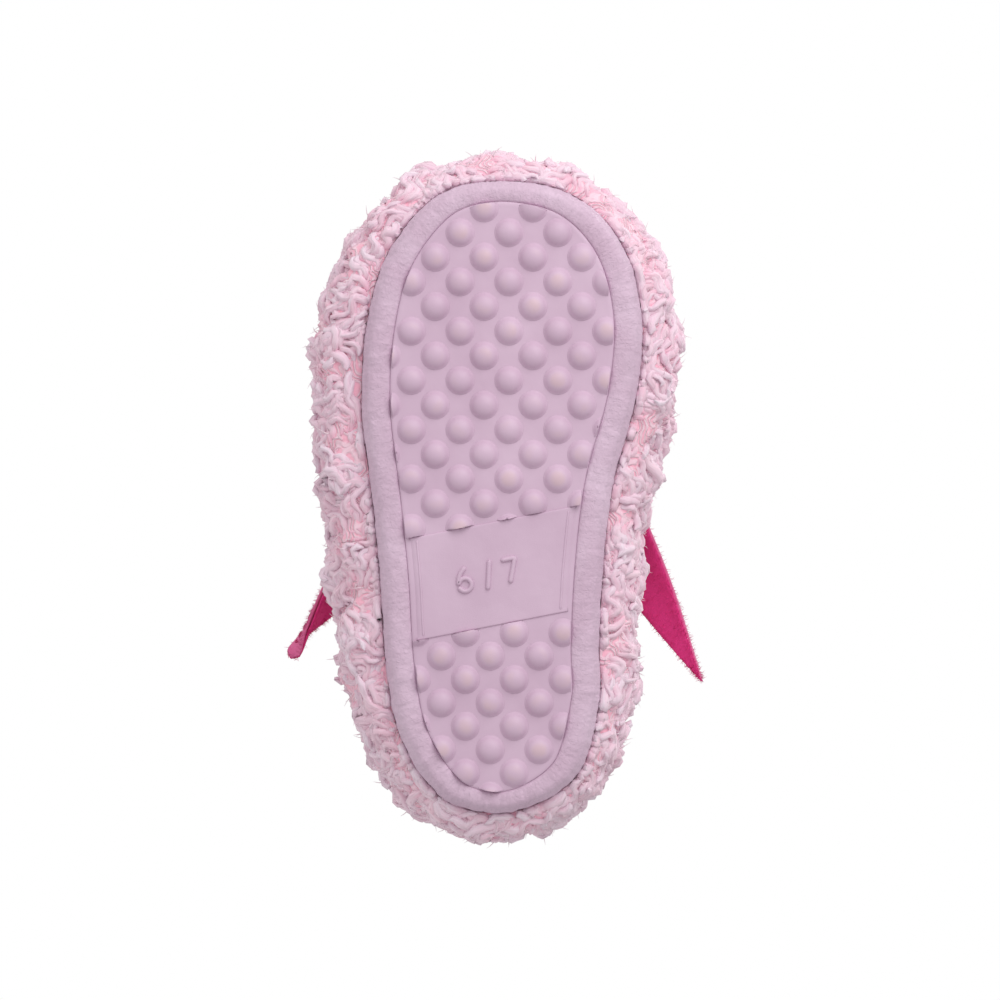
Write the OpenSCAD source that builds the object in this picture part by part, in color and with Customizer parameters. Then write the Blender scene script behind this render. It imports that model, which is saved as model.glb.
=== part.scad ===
// Fluffy house slipper, right foot, child's size.
// Millimetres. Toe towards -Y, heel towards +Y, arch side towards +X, floor at z = 0.

/* [Sole] */
// Length over the edge band
sole_length = 155.5; // [120:0.5:200]
// Width over the edge band at the ball of the foot
sole_width = 69; // [50:0.5:90]
// How far the studs stand out of the panel
stud_height = 2; // [1:0.1:3]
// Diameter of a stud where it meets the panel
stud_diameter = 6.8; // [4:0.1:9]
// Distance between studs in a row
stud_pitch = 12; // [8:0.1:16]
// Thickness of the rubber panel
panel_thickness = 2.4; // [1:0.1:4]
// Width of the edge band under the toe and heel
band_at_ends = 5.5; // [3:0.1:10]
// Width of the edge band under the sides
band_at_sides = 7.2; // [3:0.1:10]
// Height of the top of the platform
platform_top = 12; // [8:0.5:20]

/* [Upper] */
// Height of the lining's edge at the front of the foot opening
rim_front = 54; // [40:1:80]
// Height of the lining's edge beside the ankle
rim_side = 45; // [30:1:70]
// Height of the lining's edge at the heel
rim_back = 50; // [35:1:75]
// Half the width of the foot opening
opening_half_width = 20; // [15:0.5:30]
// Half the length of the foot opening
opening_half_length = 38; // [28:0.5:50]
// How far back the middle of the foot opening is
opening_back = 24; // [10:0.5:35]
// Full depth of the pile past the sole at the toe and heel
pile_at_ends = 12; // [4:0.5:16]
// Full depth of the pile past the sole at the sides
pile_at_sides = 13; // [6:0.5:18]
// Extra pile on the outer side of the foot
pile_extra_outside = 3; // [0:0.5:5]

/* [Ears] */
// Length of an ear from its seam to its tip
ear_length = 65; // [40:1:90]
// Width of an ear at its widest
ear_width = 17; // [12:0.5:30]
// Width of an ear at its seam
ear_root_width = 14; // [8:0.5:20]
// Thickness of one layer of ear felt
felt_thickness = 1.2; // [0.8:0.1:2]
// Distance of each ear's seam from the middle line
ear_side = 22; // [10:0.5:28]
// Position of the ear seams along the foot
ear_along = -7; // [-20:0.5:10]
// Height of the left ear's seam
left_ear_up = 66.2; // [50:0.1:80]
// Height of the right ear's seam
right_ear_up = 69.6; // [50:0.1:80]
// How far each ear points outwards from straight back
ear_heading = 31; // [0:1:60]
// How far each ear is turned so that its outer edge is lower
ear_roll = 20; // [0:1:45]
// How far each ear slopes down towards its tip
ear_drop = 18; // [0:1:60]

/* [Hidden] */
$fn = 48;
gap = 0.2;
lap = 0.01;

// Points round the sole's edge for a sole 155.5 long and 69 wide, from the toe towards the arch.
edge_knots = [
  [0, -78.5], [18, -75], [30, -63], [35, -45], [33.5, -25], [28, -4], [25.5, 16],
  [24.5, 36], [24.5, 50], [19, 68], [4, 77], [-13, 74.5], [-24, 60], [-28, 42],
  [-29.5, 20], [-31.5, 0], [-34, -22], [-33, -42], [-28, -60], [-16, -74.5]
];
knot_count = len(edge_knots);
width_scale = sole_width / 69;
length_scale = sole_length / 155.5;

// Layers of the upper, measured outwards from the inside of the lining.
wall_inset = 6;
lining_thickness = 1;
padding_from = 1.2;
padding_to = 3.1;
tape_from = 3.3;
tape_to = 3.7;
counter_to = 4.1;
plush_from = 4.4;
upper_base = platform_top + 0.3;

// Where the seams lie round the edge, as a share of the way round from the toe.
left_seam = 0.28;
back_seam = 0.51;
right_seam = 0.725;
seam_gap = 0.0006;
tape_reach = 0.014;

panel_face = stud_height;
panel_back = stud_height + panel_thickness;
plaque_rise = 0.4;
mark_rise = 1.2;
plaque_tilt = -11;
plaque_middle = [-2.8, 18.6];
plaque_length = 25;
insole_thickness = 3;
sock_thickness = 1;

// Smooth closed curve through the edge knots.
function knot(i) =
  let (k = edge_knots[(i + knot_count) % knot_count])
  [k.x * width_scale, k.y * length_scale];
function along_curve(a, b, c, d, t) =
  0.5 * (2 * b + (c - a) * t + (2 * a - 5 * b + 4 * c - d) * t * t + (3 * b - a - 3 * c + d) * t * t * t);
function curve_slope(a, b, c, d, t) =
  c - a + 2 * (2 * a - 5 * b + 4 * c - d) * t + 3 * (3 * b - a - 3 * c + d) * t * t;
function edge(u) =
  let (s = (u - floor(u)) * knot_count, i = floor(s))
  along_curve(knot(i - 1), knot(i), knot(i + 1), knot(i + 2), s - i);
function outwards(u) =
  let (
    s = (u - floor(u)) * knot_count,
    i = floor(s),
    d = curve_slope(knot(i - 1), knot(i), knot(i + 1), knot(i + 2), s - i)
  )
  [d.y, -d.x] / norm(d);
function edge_moved(u, distance) = edge(u) + outwards(u) * distance;

// The foot opening, seen from above, and the height of its edge.
function rim_angle(u) =
  let (p = edge(u))
  atan2((p.y - opening_back) / opening_half_length, p.x / opening_half_width);
function rim_point(a) =
  [opening_half_width * cos(a), opening_back + opening_half_length * sin(a)];
function rim_height(a) =
  let (
    forward = max(0, -sin(a)),
    back = max(0, sin(a))
  )
  rim_side + (rim_front - rim_side) * forward * forward + (rim_back - rim_side) * back * back;

// A point of the upper: u round the foot, v from the sole up to the opening, t outwards.
function wall(u, v, t) =
  let (
    a = rim_angle(u),
    low = edge_moved(u, t - wall_inset),
    top = rim_point(a),
    across = 1 - cos(90 * v),
    up = sin(90 * v),
    height = rim_height(a) + t - upper_base
  )
  [low.x + (top.x - low.x) * across, low.y + (top.y - low.y) * across, upper_base + height * up];

// How far the pile's tips are from the inside of the lining.
function pile(u, v) =
  let (
    side = outwards(u).x,
    full = pile_at_ends + (pile_at_sides - pile_at_ends) * abs(side) + pile_extra_outside * max(0, -side)
  )
  wall_inset + full * (1 - 0.45 * pow(1 - v, 6) - 0.5 * pow(v, 4));

function band_width(u) =
  band_at_ends + (band_at_sides - band_at_ends) * abs(outwards(u).x);

// Half the width of an ear, at a share s of its length.
function ear_half(s) =
  let (root = ear_root_width / 2, widest = ear_width / 2)
  s < 0.3 ? root + (widest - root) * sin(90 * s / 0.3) : widest * (1 - pow((s - 0.3) / 0.7, 1.25));

module slice(distance, from_z, to_z, count = 80) {
  translate([0, 0, from_z])
    linear_extrude(height = to_z - from_z)
      polygon([for (i = [0:count - 1]) edge_moved(i / count, distance)]);
}

// Closed solid between an inner and an outer grid of points.
module sheet_solid(inner, outer) {
  n = len(inner);
  m = len(inner[0]);
  points = concat([for (row = inner) for (p = row) p], [for (row = outer) for (p = row) p]);
  half = n * m;
  faces = concat(
    [for (i = [0:n - 2]) for (j = [0:m - 2]) each [
      [i * m + j, (i + 1) * m + j, (i + 1) * m + j + 1],
      [i * m + j, (i + 1) * m + j + 1, i * m + j + 1],
      [half + i * m + j, half + (i + 1) * m + j + 1, half + (i + 1) * m + j],
      [half + i * m + j, half + i * m + j + 1, half + (i + 1) * m + j + 1]
    ]],
    [for (i = [0:n - 2]) each [
      [i * m, half + (i + 1) * m, (i + 1) * m],
      [i * m, half + i * m, half + (i + 1) * m],
      [i * m + m - 1, (i + 1) * m + m - 1, half + (i + 1) * m + m - 1],
      [i * m + m - 1, half + (i + 1) * m + m - 1, half + i * m + m - 1]
    ]],
    [for (j = [0:m - 2]) each [
      [j, j + 1, half + j + 1],
      [j, half + j + 1, half + j],
      [(n - 1) * m + j, half + (n - 1) * m + j + 1, (n - 1) * m + j + 1],
      [(n - 1) * m + j, half + (n - 1) * m + j, half + (n - 1) * m + j + 1]
    ]]
  );
  polyhedron(points = points, faces = faces);
}

// Closed ring from rows of profile points, one row for each step round.
module ring_solid(rows) {
  n = len(rows);
  m = len(rows[0]);
  polyhedron(
    points = [for (row = rows) for (p = row) p],
    faces = [for (i = [0:n - 1]) for (j = [0:m - 1]) each [
      [i * m + j, i * m + (j + 1) % m, ((i + 1) % n) * m + (j + 1) % m],
      [i * m + j, ((i + 1) % n) * m + (j + 1) % m, ((i + 1) % n) * m + j]
    ]]
  );
}

// Ring that follows the sole's edge. Each profile point is [distance outwards, height].
module edge_ring(profile, count = 88) {
  ring_solid([for (i = [0:count - 1]) [for (p = profile)
    let (q = edge_moved(i / count, p[0]))
    [q.x, q.y, p[1]]
  ]]);
}

// Ring that follows the foot opening. Heights are from the lining's edge.
module opening_ring(profile, count = 60) {
  ring_solid([for (i = [0:count - 1]) [for (p = profile)
    let (
      a = 360 * i / count,
      face = [opening_half_length * cos(a), opening_half_width * sin(a)],
      q = rim_point(a) + face / norm(face) * p[0]
    )
    [q.x, q.y, rim_height(a) + p[1]]
  ]]);
}

module wall_panel(u_from, u_to, v_from, v_to, t_from, t_to, columns, rows) {
  us = [for (i = [0:columns]) u_from + (u_to - u_from) * i / columns];
  vs = [for (j = [0:rows]) v_from + (v_to - v_from) * j / rows];
  sheet_solid(
    [for (u = us) [for (v = vs) wall(u, v, t_from)]],
    [for (u = us) [for (v = vs) wall(u, v, t_to)]]
  );
}

module plush_panel(u_from, u_to, columns, rows) {
  us = [for (i = [0:columns]) u_from + (u_to - u_from) * i / columns];
  vs = [for (j = [0:rows]) j / rows];
  sheet_solid(
    [for (u = us) [for (v = vs) wall(u, v, plush_from)]],
    [for (u = us) [for (v = vs) wall(u, v, pile(u, v))]]
  );
}

// A row of studs. Each is the end of a ball, cut flat where it meets the floor.
module stud_row(y, first, count) {
  reach = stud_diameter / 2;
  ball = (reach * reach + stud_height * stud_height) / (2 * stud_height);
  for (i = [0:count - 1])
    translate([first + i * stud_pitch, y, ball - 0.08])
      sphere(r = ball);
}

module forefoot_studs() {
  row_step = 6.05;
  for (row = [0:13])
    stud_row(-71.5 + row * row_step, row % 2 == 0 ? -27.9 : -33.8, 6);
}

module heel_studs() {
  row_step = 5.75;
  for (row = [0:7])
    stud_row(32.8 + row * row_step, row % 2 == 0 ? -20.5 : -14.4, 4);
}

module plaque_area() {
  translate(plaque_middle)
    rotate(plaque_tilt)
      square([60, plaque_length], center = true);
}

module slab(size, middle, turn = 0) {
  translate(middle)
    rotate(turn)
      square(size, center = true);
}

module ring_shape(radius, stroke) {
  difference() {
    circle(r = radius);
    circle(r = radius - stroke);
  }
}

module six(tall, stroke) {
  bowl = 2;
  sweep = 4.9;
  bowl_up = bowl - tall / 2;
  translate([0, bowl_up])
    ring_shape(bowl, stroke);
  intersection() {
    translate([sweep - bowl, bowl_up])
      ring_shape(sweep, stroke);
    translate([-bowl - 1, bowl_up])
      square([bowl + 2.4, tall - bowl]);
  }
}

module seven(tall, stroke) {
  slab([4, stroke], [0, tall / 2 - stroke / 2]);
  intersection() {
    slab([stroke * 1.05, tall + 2], [0.55, 0], -20);
    slab([6, tall], [0, 0]);
  }
}

// Size mark, drawn as it is read from below: a six, a stroke and a seven.
module size_mark() {
  stroke = 1.1;
  tall = 6.4;
  translate([-4.9, 0])
    six(tall, stroke);
  slab([stroke, tall + 0.8], [-0.3, 0], -14);
  translate([4.4, 0])
    seven(tall, stroke);
}

module sole_edge_clip(z_from, z_to) {
  translate([0, 0, z_from])
    linear_extrude(height = z_to - z_from)
      polygon([for (i = [0:79]) edge_moved(i / 80, -band_width(i / 80))]);
}

module outsole() {
  color("#cbb2ce") {
    sole_edge_clip(panel_face, panel_back);
    intersection() {
      sole_edge_clip(0, panel_face + lap);
      difference() {
        union() {
          forefoot_studs();
          heel_studs();
        }
        translate([0, 0, -1])
          linear_extrude(height = 8)
            plaque_area();
      }
    }
    intersection() {
      sole_edge_clip(panel_face - plaque_rise, panel_face + lap);
      translate([0, 0, -1])
        linear_extrude(height = 8)
          plaque_area();
    }
    translate([0, 0, panel_face - mark_rise])
      linear_extrude(height = mark_rise - plaque_rise + lap)
        translate(plaque_middle)
          rotate(plaque_tilt)
            mirror([0, 1])
              size_mark();
  }
}

module platform_cover() {
  top = platform_top - 0.4;
  steps = 88;
  color("#cdb4cf")
    ring_solid([for (i = [0:steps - 1])
      let (u = i / steps, w = band_width(u) - 0.3)
      [for (p = [
        [-1.2, top], [-1.2, 4.8], [-w, 4.8], [-w, 2.6], [-0.8 * w, 1.8],
        [-0.5 * w, 1.5], [-0.25 * w, 2.4], [-0.6, 4], [0, 6.4], [0, 9], [-0.4, top]
      ])
        let (q = edge_moved(u, p[0]))
        [q.x, q.y, p[1]]
      ]
    ]);
}

module midsole_foam() {
  color("#e8e2da")
    slice(-1.6, 5.1, platform_top, 88);
}

module insole_foam() {
  color("#efe9dc")
    slice(-wall_inset - 0.9, platform_top + gap, platform_top + gap + insole_thickness);
}

module sock_lining() {
  sock_base = platform_top + 2 * gap + insole_thickness;
  color("#f3dfe6")
    slice(-wall_inset - 0.9, sock_base, sock_base + sock_thickness);
}

module sole_seam_thread() {
  color("#b98aa2")
    edge_ring([[0.3, 10.6], [0.9, 10.6], [0.9, 11.4], [0.3, 11.4]]);
}

module vamp_plush() {
  color("#ecc6d4")
    plush_panel(right_seam - 1 + seam_gap, left_seam - seam_gap, 40, 12);
}

module left_quarter_plush() {
  color("#ecc6d4")
    plush_panel(left_seam + seam_gap, back_seam - seam_gap, 16, 12);
}

module right_quarter_plush() {
  color("#ecc6d4")
    plush_panel(back_seam + seam_gap, right_seam - seam_gap, 16, 12);
}

module vamp_padding() {
  color("#f2efe8")
    wall_panel(right_seam - 1 + seam_gap, left_seam - seam_gap, 0, 0.97, padding_from, padding_to, 36, 9);
}

module left_quarter_padding() {
  color("#f2efe8")
    wall_panel(left_seam + seam_gap, back_seam - seam_gap, 0, 0.97, padding_from, padding_to, 14, 9);
}

module right_quarter_padding() {
  color("#f2efe8")
    wall_panel(back_seam + seam_gap, right_seam - seam_gap, 0, 0.97, padding_from, padding_to, 14, 9);
}

module vamp_lining() {
  color("#f6e3ea")
    wall_panel(right_seam - 1 + seam_gap, left_seam - seam_gap, 0, 1, 0, lining_thickness, 36, 9);
}

module quarter_lining() {
  color("#f6e3ea")
    wall_panel(left_seam + seam_gap, right_seam - seam_gap, 0, 1, 0, lining_thickness, 28, 9);
}

module heel_counter() {
  color("#d9cfc0")
    wall_panel(0.4, 0.62, 0.02, 0.5, tape_from, counter_to, 18, 5);
}

module left_seam_tape() {
  color("#ffffff")
    wall_panel(left_seam - tape_reach, left_seam + tape_reach, 0.02, 0.96, tape_from, tape_to, 2, 9);
}

module right_seam_tape() {
  color("#ffffff")
    wall_panel(right_seam - tape_reach, right_seam + tape_reach, 0.02, 0.96, tape_from, tape_to, 2, 9);
}

module back_seam_tape() {
  color("#ffffff")
    wall_panel(back_seam - tape_reach, back_seam + tape_reach, 0.53, 0.96, tape_from, tape_to, 2, 5);
}

module collar_binding() {
  color("#e7b4c8")
    opening_ring([
      [-0.4, -1.5], [-0.4, -0.7], [-1.6, -0.7], [-1.6, 5.7], [-0.4, 5.7], [-0.4, 6.5], [-2.4, 6.5], [-2.4, -1.5]
    ]);
}

module collar_elastic() {
  color("#fafafa")
    opening_ring([[-0.6, -0.4], [-1.4, -0.4], [-1.4, 5.4], [-0.6, 5.4]]);
}

module ear_shape(inset = 0) {
  steps = 22;
  start = inset / ear_length;
  stop = 1 - 3 * inset / ear_length;
  side = [for (i = [0:steps])
    let (s = start + (stop - start) * i / steps)
    [max(0.3, ear_half(s) - inset), s * ear_length]
  ];
  polygon(concat(side, [for (i = [steps:-1:0]) [-side[i].x, side[i].y]]));
}

// Puts an ear at its seam: side is 1 for the left ear and -1 for the right one.
module place_ear(side) {
  translate([side * ear_side, ear_along, side > 0 ? left_ear_up : right_ear_up])
    rotate([0, 0, -side * ear_heading])
      rotate([-ear_drop, 0, 0])
        rotate([0, side * ear_roll, 0])
          children();
}

module felt_layer(base) {
  translate([0, 0.6, base])
    linear_extrude(height = felt_thickness)
      ear_shape();
}

module stitch_line() {
  translate([0, 0.6, felt_thickness + 0.06])
    linear_extrude(height = 0.4)
      difference() {
        ear_shape(1.6);
        ear_shape(2.2);
      }
}

module root_tape() {
  translate([0, -2.6, -0.6])
    cube([ear_root_width, 4, 1.2], center = true);
}

module left_ear_back_felt() {
  color("#cf2370")
    place_ear(1)
      felt_layer(-felt_thickness - 0.1);
}

module left_ear_front_felt() {
  color("#d94f8f")
    place_ear(1)
      felt_layer(0);
}

module left_ear_edge_stitch() {
  color("#a81a58")
    place_ear(1)
      stitch_line();
}

module left_ear_root_tape() {
  color("#b01c5e")
    place_ear(1)
      root_tape();
}

module right_ear_back_felt() {
  color("#cf2370")
    place_ear(-1)
      felt_layer(-felt_thickness - 0.1);
}

module right_ear_front_felt() {
  color("#d94f8f")
    place_ear(-1)
      felt_layer(0);
}

module right_ear_edge_stitch() {
  color("#a81a58")
    place_ear(-1)
      stitch_line();
}

module right_ear_root_tape() {
  color("#b01c5e")
    place_ear(-1)
      root_tape();
}

outsole();
platform_cover();
midsole_foam();
insole_foam();
sock_lining();
sole_seam_thread();
vamp_plush();
left_quarter_plush();
right_quarter_plush();
vamp_padding();
left_quarter_padding();
right_quarter_padding();
vamp_lining();
quarter_lining();
heel_counter();
left_seam_tape();
right_seam_tape();
back_seam_tape();
collar_binding();
collar_elastic();
left_ear_back_felt();
left_ear_front_felt();
left_ear_edge_stitch();
left_ear_root_tape();
right_ear_back_felt();
right_ear_front_felt();
right_ear_edge_stitch();
right_ear_root_tape();
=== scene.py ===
"""Fluffy house slipper for a right foot. Shapes are worked out in millimetres and built in metres.

Toe towards -Y, heel towards +Y, arch side towards +X, floor at z = 0.
"""

import math

import bmesh
import bpy
import numpy as np
from mathutils import Matrix, Vector, noise


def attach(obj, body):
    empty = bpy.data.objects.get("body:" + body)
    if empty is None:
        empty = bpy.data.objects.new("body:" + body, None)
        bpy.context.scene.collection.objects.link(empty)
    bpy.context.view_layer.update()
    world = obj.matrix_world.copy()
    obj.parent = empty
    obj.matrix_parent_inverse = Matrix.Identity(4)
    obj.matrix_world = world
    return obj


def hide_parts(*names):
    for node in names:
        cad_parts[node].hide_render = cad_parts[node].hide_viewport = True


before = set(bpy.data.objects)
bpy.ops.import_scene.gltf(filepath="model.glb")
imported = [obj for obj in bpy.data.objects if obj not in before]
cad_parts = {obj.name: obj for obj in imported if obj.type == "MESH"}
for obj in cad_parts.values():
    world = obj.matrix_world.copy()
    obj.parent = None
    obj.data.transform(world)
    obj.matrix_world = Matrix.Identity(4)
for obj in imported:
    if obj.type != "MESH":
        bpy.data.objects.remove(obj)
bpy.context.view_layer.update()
MM = 0.001
TURN = 2 * math.pi

# ---------------------------------------------------------------- shape of the slipper

KNOTS = np.array(
    [
        [0, -78.5], [18, -75], [30, -63], [35, -45], [33.5, -25], [28, -4], [25.5, 16],
        [24.5, 36], [24.5, 50], [19, 68], [4, 77], [-13, 74.5], [-24, 60], [-28, 42],
        [-29.5, 20], [-31.5, 0], [-34, -22], [-33, -42], [-28, -60], [-16, -74.5],
    ],
    float,
)
# where the joins of the plush lie, as shares of the way round from the toe
LEFT_SEAM, BACK_SEAM, RIGHT_SEAM = 0.28, 0.51, 0.725
# lining inside the sole's edge, lower edge of the upper, backing cloth of the pile outside the lining
INSET, BASE, PLUSH_FROM = 6.0, 12.3, 4.4
# the foot opening is an ellipse in plan
RIM_HALF = np.array([20.0, 38.0])
RIM_MIDDLE_Y = 24.0
RIM_FRONT, RIM_SIDE, RIM_HEEL = 54.0, 45.0, 50.0


def curve(a, b, c, d, t):
    """Catmull-Rom curve from b to c."""
    return 0.5 * (2 * b + (c - a) * t + (2 * a - 5 * b + 4 * c - d) * t**2 + (3 * b - a - 3 * c + d) * t**3)


def edge(u):
    """Point on the sole's edge and its outward direction; u is the share of the way round from the toe."""
    u = np.asarray(u, float)
    s = (u - np.floor(u)) * len(KNOTS)
    i = np.floor(s).astype(int)
    t = (s - i)[..., None]
    a, b, c, d = (KNOTS[(i + k) % len(KNOTS)] for k in (-1, 0, 1, 2))
    p = curve(a, b, c, d, t)
    g = c - a + 2 * (2 * a - 5 * b + 4 * c - d) * t + 3 * (3 * b - a - 3 * c + d) * t**2
    n = np.stack([g[..., 1], -g[..., 0]], -1)
    return p, n / np.linalg.norm(n, axis=-1, keepdims=True)


def edge_moved(u, distance):
    p, n = edge(u)
    return p + n * np.asarray(distance, float)[..., None]


def unit(v):
    return v / np.maximum(np.linalg.norm(v, axis=-1, keepdims=True), 1e-9)


def at_height(plan, z):
    """Plan points with a height, or a height each."""
    return np.concatenate([plan, np.broadcast_to(z, plan.shape[:-1])[..., None]], -1)


def rim_angle(u):
    p, _ = edge(u)
    return np.arctan2((p[..., 1] - RIM_MIDDLE_Y) / RIM_HALF[1], p[..., 0] / RIM_HALF[0])


def rim_plan(a):
    """Points of the foot opening's edge in plan, and their outward directions."""
    out = unit(np.stack([RIM_HALF[1] * np.cos(a), RIM_HALF[0] * np.sin(a)], -1))
    return np.stack([RIM_HALF[0] * np.cos(a), RIM_MIDDLE_Y + RIM_HALF[1] * np.sin(a)], -1), out


def rim_height(a):
    forward = np.maximum(0, -np.sin(a))
    back = np.maximum(0, np.sin(a))
    return RIM_SIDE + (RIM_FRONT - RIM_SIDE) * forward**2 + (RIM_HEEL - RIM_SIDE) * back**2


def wall(u, v, t):
    """Point of the upper: u round the foot, v from the sole up to the opening, t outwards from the lining."""
    u, v, t = np.broadcast_arrays(np.asarray(u, float), v, t)
    p, n = edge(u)
    a = rim_angle(u)
    low = p + n * (t - INSET)[..., None]
    across = 1 - np.cos(np.pi / 2 * v)
    up = np.sin(np.pi / 2 * v)
    xy = low + (rim_plan(a)[0] - low) * across[..., None]
    return at_height(xy, BASE + (rim_height(a) + t - BASE) * up)


# where the pile is fuller or flatter round the foot, as [share of the way round, millimetres]
FULLER = np.array(
    [
        [0, -0.3], [0.07, -1.8], [0.12, -1.3], [0.2, 1.3], [0.28, 0.2], [0.39, -0.6],
        [0.46, -2.2], [0.51, -0.4], [0.55, -2.2], [0.6, -3.4], [0.66, -0.2],
        [0.76, 0.8], [0.84, 2.4], [0.9, 0.1], [0.96, -1.5], [1, -0.3],
    ]
)


def pile(u, v):
    """Distance of the tips of the pile from the inside of the lining."""
    _, n = edge(u)
    side = n[..., 0]
    full = 12 + np.abs(side) + 3 * np.maximum(0, -side)
    return INSET + full * (1 - 0.45 * (1 - v) ** 6 - 0.5 * v**4)


def band_width(u):
    """Width of the edge band seen from below; it is wider along the sides."""
    _, n = edge(u)
    return 5.5 + 1.7 * np.abs(n[..., 0])


def waves(points, size, seed):
    """Smooth seeded noise, about -1 to 1, with lumps of the given size."""
    count = 7
    r = np.random.default_rng(seed)
    heading = unit(r.normal(size=(count, 3))) * (TURN / size) * r.uniform(0.6, 1.5, (count, 1))
    return np.sin(points @ heading.T + r.uniform(0, TURN, count)).sum(-1) / math.sqrt(count)


# ---------------------------------------------------------------- building meshes


def build(name, points, faces, material, body="slipper", uv=None, floats=None, turn_out=True):
    """Mesh object from points in millimetres. faces is an array, or a list of lists of point numbers."""
    mesh = bpy.data.meshes.new(name)
    points = np.asarray(points, float).reshape(-1, 3) * MM
    if isinstance(faces, np.ndarray):
        count, corners = faces.shape
        mesh.vertices.add(len(points))
        mesh.vertices.foreach_set("co", points.ravel())
        mesh.loops.add(count * corners)
        mesh.loops.foreach_set("vertex_index", faces.astype(np.int32).ravel())
        mesh.polygons.add(count)
        mesh.polygons.foreach_set("loop_start", np.arange(0, count * corners, corners, dtype=np.int32))
        mesh.update(calc_edges=True)
    else:
        mesh.from_pydata(points.tolist(), [], faces)
    if uv is not None:
        layer = mesh.uv_layers.new(name="Along")
        layer.data.foreach_set("uv", np.asarray(uv, np.float32).ravel())
    for key, values in (floats or {}).items():
        data = mesh.attributes.new(key, "FLOAT", "POINT").data
        data.foreach_set("value", np.asarray(values, np.float32).ravel())
    mesh.polygons.foreach_set("use_smooth", np.ones(len(mesh.polygons), bool))
    mesh.validate()
    if turn_out:
        shape = bmesh.new()
        shape.from_mesh(mesh)
        bmesh.ops.recalc_face_normals(shape, faces=shape.faces)
        shape.to_mesh(mesh)
        shape.free()
    mesh.update()
    mesh.materials.append(material)
    obj = bpy.data.objects.new(name, mesh)
    bpy.context.scene.collection.objects.link(obj)
    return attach(obj, body)


def stand_for(node):
    """Hides the CAD node whose place a piece takes."""
    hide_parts(node)


def grid_faces(rows, columns, wrap_rows=False, wrap_columns=False):
    """Quads of a grid of points, joined round where it wraps."""
    i = np.arange(rows if wrap_rows else rows - 1)[:, None]
    j = np.arange(columns if wrap_columns else columns - 1)[None, :]
    a = i * columns + j
    b = ((i + 1) % rows) * columns + j
    c = ((i + 1) % rows) * columns + (j + 1) % columns
    d = i * columns + (j + 1) % columns
    return np.stack([a + 0 * b, b + 0 * a, c, d + 0 * b], -1).reshape(-1, 4)


def grid_uv(rows, columns, wrap_rows=False):
    """Texture coordinates for the corners of grid_faces, with the columns wrapped."""
    i = np.arange(rows if wrap_rows else rows - 1)[:, None] + 0.0
    j = np.arange(columns)[None, :] + 0.0
    i, j = np.broadcast_arrays(i, j)
    corners = [(i, j), (i + 1, j), (i + 1, j + 1), (i, j + 1)]
    return np.stack([np.stack([b / columns, a / rows], -1) for a, b in corners], 2).reshape(-1, 2)


def tubes(paths, radii, sides, flat=1.0, phase=None, reference=None, swell=1.0):
    """Tubes along paths of shape (tubes, rings, 3).

    Returns points, faces, uv, share along and tube number.
    """
    count, rings, _ = paths.shape
    along = unit(np.gradient(paths, axis=1))
    start = np.array([0.31, 0.52, 0.79]) if reference is None else reference
    side = unit(np.cross(along[:, 0], np.broadcast_to(start, (count, 3))))
    if phase is not None:
        side = unit(side * np.cos(phase)[:, None] + np.cross(along[:, 0], side) * np.sin(phase)[:, None])
    carried = [side]
    for k in range(1, rings):
        side = unit(side - (side * along[:, k]).sum(-1, keepdims=True) * along[:, k])
        carried.append(side)
    side = np.stack(carried, 1)
    other = np.cross(along, side)
    angle = TURN * np.arange(sides) / sides
    s = np.linspace(0, 1, rings)
    ring = np.cos(angle)[:, None] * side[:, :, None, :] + flat * np.sin(angle)[:, None] * other[:, :, None, :]
    points = paths[:, :, None, :] + ring * (radii[:, :, None] * swell)[..., None]
    faces = grid_faces(rings, sides, wrap_columns=True)[:, ::-1]
    all_faces = (faces[None] + (np.arange(count) * rings * sides)[:, None, None]).reshape(-1, 4)
    uv = np.tile(grid_uv(rings, sides).reshape(-1, 4, 2)[:, ::-1].reshape(-1, 2), (count, 1))
    share = np.broadcast_to(s[None, :, None], (count, rings, sides))
    number = np.broadcast_to(np.arange(count)[:, None, None], (count, rings, sides))
    return points.reshape(-1, 3), all_faces, uv, share.ravel(), number.ravel()


def sweep(name, sections, material):
    """Closed ring of surface through rows of profile points."""
    rows, columns, _ = sections.shape
    uv = grid_uv(rows, columns, True)
    return build(name, sections, grid_faces(rows, columns, True, True), material, uv=uv)


def shell(name, inner, outer, material, body="slipper"):
    """Closed layer between two grids of points."""
    columns, rows = outer.shape[:2]
    points = np.concatenate([inner.reshape(-1, 3), outer.reshape(-1, 3)])
    half = columns * rows
    face = grid_faces(columns, rows)
    i, j = np.arange(columns - 1) * rows, np.arange(rows - 1)
    last = (columns - 1) * rows
    ends = [
        np.stack([i, i + rows, half + i + rows, half + i], -1),
        np.stack([i, half + i, half + i + rows, i + rows], -1) + rows - 1,
        np.stack([j, half + j, half + j + 1, j + 1], -1),
        np.stack([j, j + 1, half + j + 1, half + j], -1) + last,
    ]
    return build(name, points, np.concatenate([face, half + face[:, ::-1], *ends]), material, body)


RIM_SHARE = 0.45  # thickness of a layer's edge, as a share of its middle


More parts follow.
